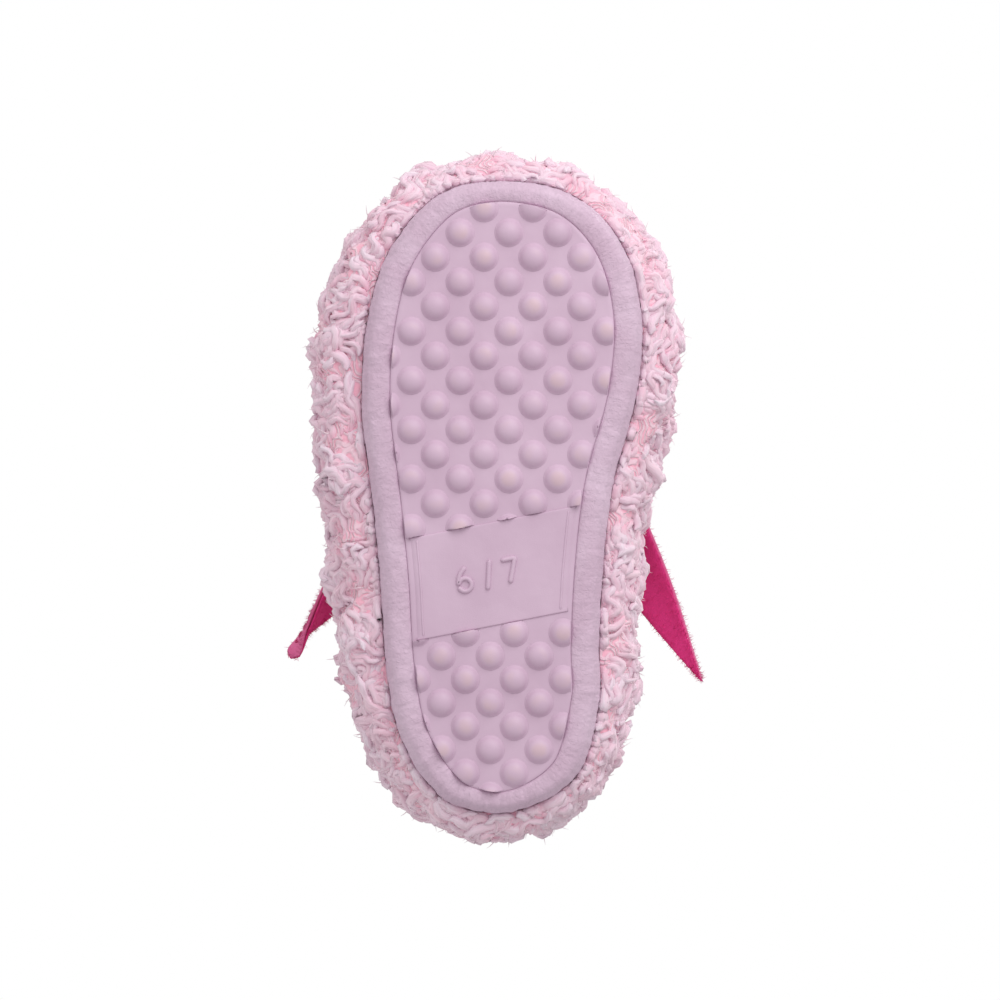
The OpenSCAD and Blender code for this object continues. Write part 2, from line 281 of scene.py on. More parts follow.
def wall_piece(name, u_span, v_span, t_span, columns, rows, material, lumps=0.0, seed=1):
    """Closed, softly lumpy layer of the upper, thinner at its edges."""
    u = np.linspace(*u_span, columns)[:, None]
    v = np.linspace(*v_span, rows)[None, :]
    inner, outer = (wall(u, v, t) for t in t_span)
    if lumps:
        middle = (inner + outer) / 2
        puff = lumps * waves(middle, 9, seed)[..., None]
        push = unit(outer - inner)
        inner = inner + push * np.clip(puff, 0, None)
        outer = outer + push * np.clip(puff, None, 0)
    soft = np.ones((columns, rows, 1))
    soft[[0, -1]] = RIM_SHARE
    soft[:, [0, -1]] = RIM_SHARE
    centre = (inner + outer) / 2
    inner, outer = centre + (inner - centre) * soft, centre + (outer - centre) * soft
    return shell(name, inner, outer, material)


def plate_piece(name, distance, low, high, material, dish=0.0):
    """Sole-shaped plate with rounded edges, dished in its middle. Each face closes round a narrow slot."""
    steps, rings = 160, 9
    u = np.arange(steps) / steps
    half_round = (high - low) / 2
    rows = []
    for a in np.linspace(-math.pi / 2, math.pi / 2, 7):
        plan = edge_moved(u, np.full(steps, distance - half_round * (1 - math.cos(a))))
        rows.append(at_height(plan, half_round * (1 + math.sin(a)) + low))
    middle = rows[0][:, :2] * (0.06, 0.8)
    caps = []
    for level, source, depth in ((high, rows[-1], dish), (low, rows[0], 0.0)):
        shares = np.arange(1, rings + 1) / rings
        plans = [source[:, :2] + (middle - source[:, :2]) * s for s in shares]
        heights = [level - depth * math.sin(math.pi / 2 * s) for s in shares]
        caps.append([at_height(plan, z) for plan, z in zip(plans, heights)])
    stack = np.array(caps[1][::-1] + rows + caps[0])
    points = stack.transpose(1, 0, 2)
    deep = stack.shape[0]
    faces = grid_faces(steps, deep, True).tolist()
    faces += [list(range(0, steps * deep, deep)), list(range(deep - 1, steps * deep, deep))]
    return build(name, points, faces, material)


# ---------------------------------------------------------------- materials


def material(name, rough, sheen=0.0, tint=(1, 1, 1), sheen_rough=0.4):
    """New material with its node tree and its Principled BSDF."""
    mat = bpy.data.materials.new(name)
    mat.use_nodes = True
    bsdf = mat.node_tree.nodes["Principled BSDF"]
    bsdf.inputs["Roughness"].default_value = rough
    bsdf.inputs["Sheen Weight"].default_value = sheen
    bsdf.inputs["Sheen Roughness"].default_value = sheen_rough
    bsdf.inputs["Sheen Tint"].default_value = (*tint, 1)
    return mat, mat.node_tree, bsdf


def add(tree, kind, inputs=None, **settings):
    """Adds a node. An input that is a socket is linked, and any other is set."""
    n = tree.nodes.new(kind)
    for key, value in settings.items():
        setattr(n, key, value)
    for key, value in (inputs or {}).items():
        socket = n.inputs[key]
        if isinstance(value, bpy.types.NodeSocket):
            tree.links.new(value, socket)
        else:
            socket.default_value = value
    return n


def ramp(tree, factor, *stops):
    """Colour ramp through stops of a position and a colour."""
    n = add(tree, "ShaderNodeValToRGB", {"Fac": factor})
    bits = n.color_ramp.elements
    while len(bits) < len(stops):
        bits.new(0.5)
    for bit, (position, colour) in zip(bits, stops):
        bit.position = position
        bit.color = (*colour, 1)
    return n.outputs["Color"]


def blended(tree, factor, a, b, how="MIX"):
    """Two colours mixed; the numbers are the Mix node's sockets for colours."""
    n = add(tree, "ShaderNodeMix", {0: factor}, data_type="RGBA", blend_type=how)
    for number, value in ((6, a), (7, b)):
        if isinstance(value, bpy.types.NodeSocket):
            tree.links.new(value, n.inputs[number])
        else:
            n.inputs[number].default_value = value
    return n.outputs[2]


def grey(value):
    return (value, value, value)


def in_millimetres(tree):
    """Object coordinates in millimetres."""
    where = add(tree, "ShaderNodeTexCoord").outputs["Object"]
    inputs = {"Vector": where, "Scale": (1 / MM, 1 / MM, 1 / MM)}
    return add(tree, "ShaderNodeMapping", inputs).outputs["Vector"]


def speckle(tree, vector, size, detail, rough=0.6, distortion=0.0):
    """Noise with grains of about the given size."""
    grain = {"Scale": 1 / size, "Detail": detail, "Roughness": rough, "Distortion": distortion}
    return add(tree, "ShaderNodeTexNoise", {"Vector": vector, **grain}).outputs["Fac"]


def bump(tree, bsdf, height, distance, strength=1.0, after=None):
    """Relief of a height in millimetres, on top of the relief that comes before it."""
    inputs = {"Height": height, "Distance": distance * MM, "Strength": strength}
    if after is not None:
        inputs["Normal"] = after
    n = add(tree, "ShaderNodeBump", inputs)
    tree.links.new(n.outputs["Normal"], bsdf.inputs["Normal"])
    return n.outputs["Normal"]


def cloth(name, light, dark, size, relief, sheen, rough=0.9, weave=0.0):
    """Napped or woven cloth: uneven colour, a fine nap, and threads when weave is their pitch."""
    mat, tree, bsdf = material(name, rough, sheen, light)
    where = in_millimetres(tree)
    patchy = speckle(tree, where, size * 9, 2)
    nap = speckle(tree, where, size * 0.35, 5, 0.7, 0.4)
    colour = ramp(tree, patchy, (0.3, dark), (0.7, light))
    colour = blended(tree, 1.0, colour, ramp(tree, nap, (0.3, grey(0.8)), (0.7, grey(1.0))), "MULTIPLY")
    normal = bump(tree, bsdf, nap, relief)
    if weave:
        for axis in ("X", "Y", "Z"):
            inputs = {"Vector": where, "Scale": 0.31 / weave, "Distortion": 0.6, "Detail": 1.0}
            threads = add(tree, "ShaderNodeTexWave", inputs, bands_direction=axis).outputs["Fac"]
            normal = bump(tree, bsdf, threads, weave * 0.16, 1.0, normal)
            colour = blended(tree, 0.35, colour, ramp(tree, threads, (0.1, dark), (0.8, light)), "MULTIPLY")
    tree.links.new(colour, bsdf.inputs["Base Color"])
    return mat


def rubber_material():
    """Moulded sole rubber with a fine grain, faint mottling and worn, dusty stud tips."""
    mat, tree, bsdf = material("sole_rubber", 0.46)
    where = in_millimetres(tree)
    mottle = speckle(tree, where, 22, 3)
    colour = ramp(tree, mottle, (0.3, (0.57, 0.40, 0.52)), (0.7, (0.65, 0.475, 0.60)))
    height = add(tree, "ShaderNodeSeparateXYZ", {"Vector": where}).outputs["Z"]
    inputs = {"Value": height, "From Min": 0.75, "From Max": 0.05}
    tips = add(tree, "ShaderNodeMapRange", inputs, interpolation_type="SMOOTHSTEP")
    patches = ramp(tree, speckle(tree, where, 11, 2), (0.45, grey(0.0)), (0.65, grey(0.5)))
    worn = blended(tree, 1.0, tips.outputs["Result"], patches, "MULTIPLY")
    colour = blended(tree, worn, colour, (0.64, 0.45, 0.45, 1))
    grain = speckle(tree, where, 0.28, 3)
    tree.links.new(colour, bsdf.inputs["Base Color"])
    tree.links.new(ramp(tree, grain, (0.3, grey(0.42)), (0.7, grey(0.6))), bsdf.inputs["Roughness"])
    normal = bump(tree, bsdf, grain, 0.035)
    bump(tree, bsdf, speckle(tree, where, 7, 2), 0.18, 1.0, normal)
    return mat


def band_material():
    """Soft coated textile with fine creases across the band, with painted shade in their hollows."""
    mat, tree, bsdf = material("edge_band_fabric", 0.62, 0.25, (0.9, 0.8, 0.9))
    where = in_millimetres(tree)
    along = add(tree, "ShaderNodeUVMap", uv_map="Along").outputs["UV"]
    inputs = {"Vector": along, "Scale": (7, 440, 1), "Rotation": (0, 0, 0.012)}
    fine = speckle(tree, add(tree, "ShaderNodeMapping", inputs).outputs["Vector"], 1.25, 3, 0.6, 0.5)
    wide = speckle(tree, where, 17, 2)
    colour = ramp(tree, wide, (0.3, (0.62, 0.435, 0.56)), (0.7, (0.71, 0.53, 0.66)))
    # painted shade: the fine creases are a little darker in their hollows, where their relief sinks
    colour = blended(tree, 1.0, colour, ramp(tree, fine, (0.3, grey(0.88)), (0.68, grey(1.0))), "MULTIPLY")
    tree.links.new(colour, bsdf.inputs["Base Color"])
    normal = bump(tree, bsdf, fine, 0.16)
    bump(tree, bsdf, speckle(tree, where, 1.0, 3, 0.65, 0.8), 0.34, 1.0, normal)
    return mat


def curl_material():
    """Locks of pile, with painted shade: rose at the roots where they sink into the body, pale pink at the
    tips, with fibres along each lock.
    """
    mat, tree, bsdf = material("curly_pile", 0.85, 0.6, (1.0, 0.80, 0.87), 0.5)
    marks = ("along", "lock", "shade")
    along, lock, shade = (add(tree, "ShaderNodeAttribute", attribute_name=x).outputs["Fac"] for x in marks)
    unwrapped = add(tree, "ShaderNodeUVMap", uv_map="Along").outputs["UV"]
    uv = add(tree, "ShaderNodeSeparateXYZ", {"Vector": unwrapped})
    # grain across a lock, along it, and a part of the noise of its own for each lock
    spread = {"X": (uv.outputs["X"], 9.0), "Y": (uv.outputs["Y"], 3.0), "Z": (lock, 7.31)}
    where = add(tree, "ShaderNodeCombineXYZ")
    for axis, (value, times) in spread.items():
        scaled = add(tree, "ShaderNodeMath", {0: value, 1: times}, operation="MULTIPLY")
        tree.links.new(scaled.outputs[0], where.inputs[axis])
    fibres = speckle(tree, where.outputs["Vector"], 1.0, 2.5, 0.6, 0.3)
    # painted shade: the roots, sunk into the body of the pile, are a deeper rose than the tips
    roots = [(0.0, (0.88, 0.53, 0.65)), (0.2, (0.85, 0.65, 0.74))]
    tips = [(0.75, (0.84, 0.705, 0.795)), (1.0, (0.84, 0.745, 0.825))]
    colour = ramp(tree, along, *roots, *tips)
    for share, low, dark, high in (
        (shade, 0.0, (0.97, 0.84, 0.88), 1.0),
        (fibres, 0.3, (0.98, 0.87, 0.90), 0.6),
    ):
        tint = ramp(tree, share, (low, dark), (high, grey(1.0)))
        colour = blended(tree, 1.0, colour, tint, "MULTIPLY")
    tree.links.new(colour, bsdf.inputs["Base Color"])
    bump(tree, bsdf, fibres, 0.3, 0.9)
    return mat


def pile_body_material():
    """Matted pile between the strands: curled ridges in low relief, with painted shade: a deeper pink in the
    hollows, and a deeper pink than the strands that lie over it.
    """
    mat, tree, bsdf = material("pile_body", 0.85, 0.6, (1.0, 0.74, 0.82), 0.5)
    where = in_millimetres(tree)
    swirled = add(tree, "ShaderNodeTexNoise", {"Vector": where, "Scale": 0.16, "Detail": 1.0})
    widened = {0: swirled.outputs["Color"], 1: (22, 22, 22)}
    drift = add(tree, "ShaderNodeVectorMath", widened, operation="MULTIPLY")
    moved = add(tree, "ShaderNodeVectorMath", {0: where, 1: drift.outputs[0]}, operation="ADD").outputs[0]
    inputs = {"Vector": moved, "Scale": 0.14, "Distortion": 5.0, "Detail": 2.0, "Detail Scale": 1.4}
    ropes = add(tree, "ShaderNodeTexWave", inputs).outputs["Fac"]
    fibres = speckle(tree, moved, 0.5, 4, 0.65, 1.2)
    # painted shade: deeper pink in the hollows of the ropes' relief, and overall deeper than the strands that
    # lie over the body
    colour = ramp(tree, ropes, (0.1, (0.97, 0.52, 0.64)), (0.65, (0.93, 0.68, 0.77)))
    tint = ramp(tree, fibres, (0.3, (1.0, 0.88, 0.91)), (0.6, grey(1.0)))
    colour = blended(tree, 1.0, colour, tint, "MULTIPLY")
    tree.links.new(colour, bsdf.inputs["Base Color"])
    normal = bump(tree, bsdf, ropes, 0.3)
    bump(tree, bsdf, fibres, 0.12, 0.9, normal)
    return mat


RUBBER = rubber_material()
BAND = band_material()
CURL = curl_material()
PILE_BODY = pile_body_material()
# light and dark colour, grain size and relief in millimetres, sheen, roughness,
# pitch of the weave in millimetres
HAIR = cloth("loose_hairs", (0.97, 0.82, 0.87), (0.95, 0.74, 0.81), 2.0, 0.05, 0.3)
FELT = cloth("magenta_felt", (0.84, 0.042, 0.26), (0.72, 0.028, 0.20), 1.0, 0.22, 0.35)
# painted light: the front felt and its nap are the magenta felt made lighter, as if lit
FELT_PAINTED_LIT = cloth("felt_painted_lit", (0.84, 0.19, 0.40), (0.74, 0.13, 0.32), 1.0, 0.22, 0.4)
EAR_THREAD = cloth("ear_thread", (0.50, 0.02, 0.13), (0.36, 0.01, 0.08), 0.5, 0.06, 0.1, 0.6)
SEAM_THREAD = cloth("seam_thread", (0.52, 0.28, 0.40), (0.42, 0.20, 0.31), 0.5, 0.06, 0.1, 0.6)
LINING = cloth("fleece_lining", (0.94, 0.74, 0.81), (0.88, 0.62, 0.71), 1.4, 0.5, 0.5)
SOCK = cloth("sock_fleece", (0.96, 0.74, 0.81), (0.90, 0.60, 0.69), 1.3, 0.7, 0.5)
BINDING = cloth("knitted_binding", (0.80, 0.46, 0.58), (0.68, 0.33, 0.46), 0.8, 0.12, 0.3, 0.85, 0.7)
ELASTIC = cloth("covered_elastic", (0.92, 0.92, 0.92), (0.82, 0.82, 0.82), 0.6, 0.05, 0.1, 0.7, 0.6)
TAPE = cloth("seam_tape_weave", (0.90, 0.88, 0.88), (0.80, 0.78, 0.78), 0.6, 0.05, 0.1, 0.8, 0.5)
EAR_TAPE = cloth("ear_tape_weave", (0.68, 0.05, 0.23), (0.54, 0.03, 0.17), 0.6, 0.08, 0.2, 0.8, 0.6)
WADDING = cloth("wadding_fleece", (0.88, 0.86, 0.82), (0.78, 0.75, 0.70), 2.4, 0.6, 0.4)
FOAM = cloth("cell_foam", (0.84, 0.79, 0.72), (0.76, 0.70, 0.62), 0.9, 0.18, 0.0, 0.9)
BOARD = cloth("counter_board", (0.66, 0.58, 0.47), (0.56, 0.48, 0.38), 0.9, 0.06, 0.0, 0.8)

# ---------------------------------------------------------------- outsole

# heights over the floor: the panel's face, its hidden back, the plaque's face, and where raised pieces start
PANEL_Z, PANEL_BACK, PLAQUE_Z = 2.0, 4.4, 1.6
SUNK_Z = PANEL_Z + 0.05
PLAQUE_MIDDLE = np.array([-2.8, 18.6])
PLAQUE_TURN = math.radians(-11)
PLAQUE_HALF = 12.5
PLAQUE_ACROSS = np.array([-math.sin(PLAQUE_TURN), math.cos(PLAQUE_TURN)])
PLAQUE_ALONG = np.array([math.cos(PLAQUE_TURN), math.sin(PLAQUE_TURN)])

outline_u = np.arange(640) / 640
outline_n = edge(outline_u)[1]
outline = edge_moved(outline_u, -band_width(outline_u) - 0.1)


def outside_panel(p):
    """How far points lie past the panel's outline; negative inside it."""
    flat = p.reshape(-1, 2)
    i = ((flat[:, None] - outline[None]) ** 2).sum(-1).argmin(1)
    return ((flat - outline[i]) * outline_n[i]).sum(-1).reshape(p.shape[:-1])


def from_plaque(p):
    """How far points lie past the plaque's two long edges; negative inside it."""
    return np.abs((p - PLAQUE_MIDDLE) @ PLAQUE_ACROSS) - PLAQUE_HALF


# a stud's section, from its tip to its foot
STUD_RADII = np.array([0, 0.8, 1.5, 2.1, 2.5, 2.8, 3.02, 3.2, 3.36, 3.6])
STUD_RISE = np.array([2.0, 1.93, 1.73, 1.42, 1.10, 0.78, 0.49, 0.26, 0.09, 0.0])


def stud(centre):
    """Tip and rings of one moulded dome, or None. It is cut off square where the panel or the plaque ends."""
    angles, steps = 36, 22

    def blocked(p):
        return np.maximum(outside_panel(p), -from_plaque(p))

    reach = STUD_RADII[-1]
    middle = centre.copy()
    # a dome that is cut off is drawn from a point well inside what is left of it
    for _ in range(12):
        over = blocked(middle[None])[0] + 0.25
        if over <= 0:
            break
        nudges = np.array([0.05, 0.0]), np.array([0.0, 0.05])
        rise = [blocked((middle + s)[None])[0] - blocked((middle - s)[None])[0] for s in nudges]
        slope = np.array(rise) / 0.1
        middle = middle - slope / max(1e-6, (slope**2).sum()) * over
    if np.linalg.norm(middle - centre) > reach - 0.7 or blocked(middle[None])[0] > 0:
        return None
    angle = TURN * np.arange(angles) / angles
    ray = np.stack([np.cos(angle), np.sin(angle)], -1)
    off = middle - centre
    along = ray @ off
    to_rim = -along + np.sqrt(np.maximum(0, along**2 - off @ off + reach**2))
    share = np.linspace(0, 1, steps)
    marks = middle + ray[:, None] * (to_rim[:, None] * share)[..., None]
    free = blocked(marks) < 0
    stop = np.where(free.all(1), steps - 1, np.maximum(0, free.argmin(1) - 1))
    limit = to_rim * share[stop]
    rings = []
    for part in STUD_RADII[1:] / reach:
        xy = middle + ray * (limit * part)[:, None]
        rise = np.interp(np.linalg.norm(xy - centre, axis=1), STUD_RADII, STUD_RISE)
        rings.append(at_height(xy, PANEL_Z - rise))
    rings.append(at_height(rings[-1][:, :2], SUNK_Z))
    top = PANEL_Z - np.interp(np.linalg.norm(off), STUD_RADII, STUD_RISE)
    return np.array([*middle, top]), np.array(rings)


def stud_mesh(rows, per_row, even_x, odd_x, first_y, row_pitch):
    """Points and faces of a field of studs in staggered rows."""
    pitch, furthest_out = 12, 3.2
    points, faces, start = [], [], 0
    for row, k in np.ndindex(rows, per_row):
        centre = np.array([(odd_x if row % 2 else even_x) + pitch * k, first_y + row_pitch * row])
        if outside_panel(centre[None])[0] > furthest_out:
            continue
        made = stud(centre)
        if made is None:
            continue
        top, rings = made
        deep, around = rings.shape[:2]
        points += [top[None], rings.reshape(-1, 3)]
        faces += [[start, start + 1 + (j + 1) % around, start + 1 + j] for j in range(around)]
        faces += (grid_faces(deep, around, wrap_columns=True)[:, ::-1] + start + 1).tolist()
        start += 1 + deep * around
    return np.concatenate(points), faces


# the panel's section at its edge: distance past the band's inner edge, and height
PANEL_EDGE = [
    (-0.8, PANEL_BACK), (0.12, PANEL_BACK), (0.12, 2.22), (-0.05, 2.05), (-0.42, 2.0),
    (-0.75, 1.95), (-1.1, 1.98), (-1.5, PANEL_Z), (-2.2, PANEL_Z),
]
PANEL_STEPS = 320
panel_u = np.arange(PANEL_STEPS) / PANEL_STEPS
panel = np.concatenate([at_height(edge_moved(panel_u, d - band_width(panel_u)), z) for d, z in PANEL_EDGE])
panel_faces = grid_faces(len(PANEL_EDGE), PANEL_STEPS, wrap_columns=True)[:, ::-1].tolist()
panel_faces += [list(range(PANEL_STEPS)), list(range(len(panel) - 1, len(panel) - PANEL_STEPS - 1, -1))]
outsole = build("outsole_panel", panel, panel_faces, RUBBER)
stand_for("outsole")

forefoot = build("forefoot_studs", *stud_mesh(14, 6, -27.9, -33.8, -71.5, 6.05), RUBBER)
heel = build("heel_studs", *stud_mesh(8, 4, -20.5, -14.4, 32.8, 5.75), RUBBER)

PLAQUE_COLUMNS = 60


def plaque_row(q, inset, count=PLAQUE_COLUMNS):
    """Points across the plaque at distance q along it, kept inside the panel."""
    line = PLAQUE_MIDDLE + PLAQUE_ACROSS * q + PLAQUE_ALONG * np.linspace(-40, 40, 1600)[:, None]
    inside = line[outside_panel(line) < -inset]
    return inside[0] + (inside[-1] - inside[0]) * np.linspace(0, 1, count)[:, None]


# the plaque's rounded long edge: distance in from it, height, and distance in from the panel's outline
plaque_edge = [(0.0, SUNK_Z, 0.7), (0.0, 1.75, 0.7), (0.15, 1.62, 0.85), (0.35, PLAQUE_Z, 1.05)]
plaque_rows = [(inset - PLAQUE_HALF, z, side) for inset, z, side in plaque_edge]
plaque_rows += [(q, PLAQUE_Z, 1.05) for q in np.linspace(0.8 - PLAQUE_HALF, PLAQUE_HALF - 0.8, 24)]
plaque_rows += [(PLAQUE_HALF - inset, z, side) for inset, z, side in plaque_edge[::-1]]
plaque_points = np.array([at_height(plaque_row(q, side), z) for q, z, side in plaque_rows])
plaque_points[4:-4, [0, -1], 2] = SUNK_Z
plaque = build("outsole_plaque", plaque_points, grid_faces(len(plaque_rows), PLAQUE_COLUMNS)[:, ::-1], RUBBER)


def bead(name, lines, width, height, level, material, sides):
    """Raised rounded lines, given as runs of plan points."""
    start = 0
    points, faces = [], []
    for line in lines:
        line = np.asarray(line, float)
        reach = np.concatenate([[0], np.cumsum(np.linalg.norm(np.diff(line, axis=0), axis=1))])
        count = max(6, int(reach[-1] / 0.35))
        at = np.linspace(0, reach[-1], count)
        xy = np.stack([np.interp(at, reach, line[:, k]) for k in (0, 1)], -1)
        path = at_height(xy, level)[None]
        ends = np.minimum(at, reach[-1] - at)
        rounding = np.clip(ends / (width / 2), 0.0004, 1)
        radius = width / 2 * np.sqrt(np.clip(1 - (1 - rounding) ** 2, 0, 1))[None]
        p, f, *_ = tubes(path, radius, sides, flat=height / (width / 2), reference=np.array([0, 0, 1.0]))
        points.append(p)
        faces.append(f + start)
        start += len(p)
    return build(name, np.concatenate(points), np.concatenate(faces), material)


def plaque_plan(line):
    """Plan points from the mark's own coordinates, read from below."""
    line = np.asarray(line, float)
    return PLAQUE_MIDDLE + line[:, :1] * PLAQUE_ALONG - line[:, 1:] * PLAQUE_ACROSS


def arc(x, y, radius, start, stop):
    a = np.radians(np.linspace(start, stop, 30))
    return np.stack([x + radius * np.cos(a), y + radius * np.sin(a)], -1)


# a generic size number, 6/7
mark_lines = [
    arc(-6.1, -1.3, 1.6, 180, 541),
    arc(-2.9, -1.3, 4.8, 180, 118),
    [[-0.9, -3.7], [0.9, 3.7]],
    [[3.5, 2.9], [7.1, 2.9], [4.8, -3.1]],
]
mark = bead("raised_size_mark", [plaque_plan(x) for x in mark_lines], 1.25, 0.8, PLAQUE_Z, RUBBER, 10)
rib_places = np.linspace(0.7 - PLAQUE_HALF, PLAQUE_HALF - 0.7, 24)
rib_lines = [[plaque_row(q, 2.6, 3)[end] for q in rib_places] for end in (0, -1)]
rib = bead("plaque_border_ribs", rib_lines, 0.55, 0.16, PLAQUE_Z - 0.02, RUBBER, 8)

# ---------------------------------------------------------------- edge band

BAND_STEPS = 560


def smooth_line(points, between=4):
    """Catmull-Rom curve through points, ends included."""
    p = np.asarray(points, float)
    p = np.concatenate([p[:1] * 2 - p[1:2], p, p[-1:] * 2 - p[-2:-1]])
    out = []
    for k in range(1, len(p) - 2):
        out += [curve(*p[k - 1 : k + 3], t) for t in np.arange(between) / between]
    out.append(p[-2])
    return np.array(out)


# the band's section, from its top down round the edge to the panel: millimetres past the sole's edge,
# shares of the band's width past it, and height
BAND_SECTION = [
    [-1.3, 0, 11.5], [-0.5, 0, 11.7], [-0.1, 0, 10.6], [0, 0, 8.8], [0, 0, 6.9],
    [-0.3, 0, 5.2], [-1.1, 0, 3.6], [-0.6, -0.16, 2.45], [0, -0.42, 1.68], [0, -0.66, 1.55],
    [0, -0.87, 1.74], [0, -0.965, 2.12], [0, -1, 2.9], [0, -1, 4.8],
]


def band_rows():
    """Sections of the band round the sole, with creases across it that lean on the outer side."""
    u = np.arange(BAND_STEPS) / BAND_STEPS
    p, n = edge(u)
    w = band_width(u) - 0.05
    outer = smooth_line(BAND_SECTION)
    d = outer[:, 0][None] + outer[:, 1][None] * w[:, None]
    z = np.broadcast_to(outer[:, 2], d.shape)
    slope_d, slope_z = np.gradient(d, axis=1), np.gradient(z, axis=1)
    length = np.hypot(slope_d, slope_z)
    out_d, out_z = -slope_z / length, slope_d / length
    round_at = np.stack([70 * np.cos(TURN * u), 70 * np.sin(TURN * u)], -1)
    crease = np.zeros(d.shape)
    # the way down the section, with the band about 6.5 mm wide
    past_edge = outer[:, 0] + 6.5 * outer[:, 1]
    strides = np.hypot(np.diff(past_edge), np.diff(outer[:, 2]))
    reach = np.concatenate([[0], np.cumsum(strides)])
    for i in range(BAND_STEPS):
        left = max(0.0, -n[i, 0])
        for j in range(d.shape[1]):
            lean = reach[j] * (0.05 + 0.35 * left)
            x, y = round_at[i] * (1 + lean / 440)
            small = noise.noise(Vector((x * 0.85, y * 0.85, reach[j] * 0.10 + lean)))
            large = noise.noise(Vector((x * 0.22 + 31, y * 0.22, reach[j] * 0.14)))
            crease[i, j] = 0.20 * small + 0.22 * large
    fade = np.clip(reach / 2.0, 0, 1) * np.clip((outer[:, 1] + 0.93) / 0.2, 0.12, 1)
    crease = crease * fade
    d = d - crease * out_d
    z = z - crease * out_z
    back = at_height(p + n * BAND_SECTION[0][0], BAND_SECTION[-1][2])[:, None]
    return np.concatenate([at_height(p[:, None] + n[:, None] * d[..., None], z), back], 1)


band = sweep("edge_band", band_rows(), BAND)
stand_for("platform_cover")

# whip stitches that join the band to the upper
STITCHES = 210
across = np.linspace(-1, 1, 7)
stitch_u = (np.arange(STITCHES)[:, None] + 0.5) / STITCHES + across * 0.0011
stitch_out = 0.15 + 0.45 * (1 - across**2) + 0 * stitch_u
stitch_paths = at_height(edge_moved(stitch_u, stitch_out), 11 + 0.75 * across)
stitch_radii = np.broadcast_to(0.3 * np.sqrt(1 - across**6) + 0.01, stitch_u.shape)
points, faces, *_ = tubes(stitch_paths, stitch_radii, 7)
stitches = build("sole_seam_stitches", points, faces, SEAM_THREAD)
stand_for("sole_seam_thread")

# ---------------------------------------------------------------- ears

# side of the foot and the place of the root on its hinge
EARS = {"left": (1, np.array([22.0, -7.0, 66.2])), "right": (-1, np.array([-22.0, -7.0, 69.6]))}
EAR_LENGTH, EAR_HALF, EAR_ROOT_HALF = 65.0, 8.5, 7.0
BACK_FACE, FRONT_FACE = -1.22, 1.12
# droop of the tip in degrees, sweep to the outside and cupping in millimetres, twist in degrees
# at the middle and at the tip, and how late along the ear that last twist comes
EAR_BEND = {"left": (4.0, -1.5, 1.2, 4.0, 8.0, 3), "right": (17.0, 6.4, 1.0, 26.0, 165.0, 7)}
EAR_TIP = {"left": 0.3, "right": 1.9}


def rotation(axis, degrees):
    return np.array(Matrix.Rotation(math.radians(degrees), 3, axis))


def ear_frame(side):
    """Turn from an ear's own frame, with X across, Y to the tip and Z out of the front felt."""
    return rotation("Z", -side * 31) @ rotation("X", -18) @ rotation("Y", side * 20)


def ear_half(s):
    """Half width of the flat felt at a share of its length."""
    s = np.clip(s, 0, 1)
    root = EAR_ROOT_HALF + (EAR_HALF - EAR_ROOT_HALF) * np.sin(np.pi / 2 * np.clip(s / 0.3, 0, 1))
    return np.where(s < 0.3, root, EAR_HALF * (1 - np.clip((s - 0.3) / 0.7, 0, 1) ** 1.25))


def blade_half(side_name, s):
    """Half width of the felt, with its tip rounded off."""
    end = np.sqrt(np.clip(1 - np.clip((s - 0.965) / 0.035, 0, 1) ** 2, 0.02, 1))
    return np.maximum(EAR_TIP[side_name], ear_half(s)) * end


def ear_line(side_name, s):
    """Middle line of a bent ear with its across and outward directions, in the ear's own frame."""
    side, _ = EARS[side_name]
    droop, sweep_out, _, twist_mid, twist_tip, late = EAR_BEND[side_name]
    fine = np.linspace(0, 1, 401)
    slope = np.radians(droop) * fine**0.8
    lean = side * 1.38 * sweep_out / EAR_LENGTH * np.sin(0.75 * np.pi * fine)
    heading = unit(np.stack([lean, np.cos(slope), -np.sin(slope)], -1))
    steps = (heading[1:] + heading[:-1]) / 2
    line = np.concatenate([np.zeros((1, 3)), np.cumsum(steps, axis=0)]) * EAR_LENGTH / len(steps)
    line[:, 1] += 0.28
    s = np.clip(s, 0, 1)
    centre = np.stack([np.interp(s, fine, line[:, k]) for k in range(3)], -1)
    along = unit(np.stack([np.interp(s, fine, heading[:, k]) for k in range(3)], -1))
    across = unit(np.array([1.0, 0, 0]) - along * along[..., :1])
    normal = np.cross(across, along)
    by_middle = np.sin(np.pi / 2 * np.clip(s / 0.5, 0, 1)) ** 2
    turn = np.radians(twist_mid * by_middle + (twist_tip - twist_mid) * s**late)[..., None]
    c, d = np.cos(turn), side * np.sin(turn)
    return centre, across * c - normal * d, normal * c + across * d


def ear_shape(side_name, x, s, z):
    """Flat blade coordinates to the bent ear, in the ear's own frame. x runs across, s along from 0 to 1."""
    side, _ = EARS[side_name]
    centre, across, normal = ear_line(side_name, s)
    grow = np.clip(s * 3, 0, 1)
    cup = EAR_BEND[side_name][2] * grow
    wave = 0.22 * np.sin(s * 11 + side) * grow * (0.4 + 0.6 * np.abs(x) / EAR_HALF)
    lift = z + cup * (0.35 - (x / EAR_HALF) ** 2) + wave
    return centre + across * np.asarray(x)[..., None] + normal * lift[..., None]


def ear_place(side_name, local):
    """Points of an ear's own frame where they lie on the slipper."""
    side, origin = EARS[side_name]
    return local @ ear_frame(side).T + origin


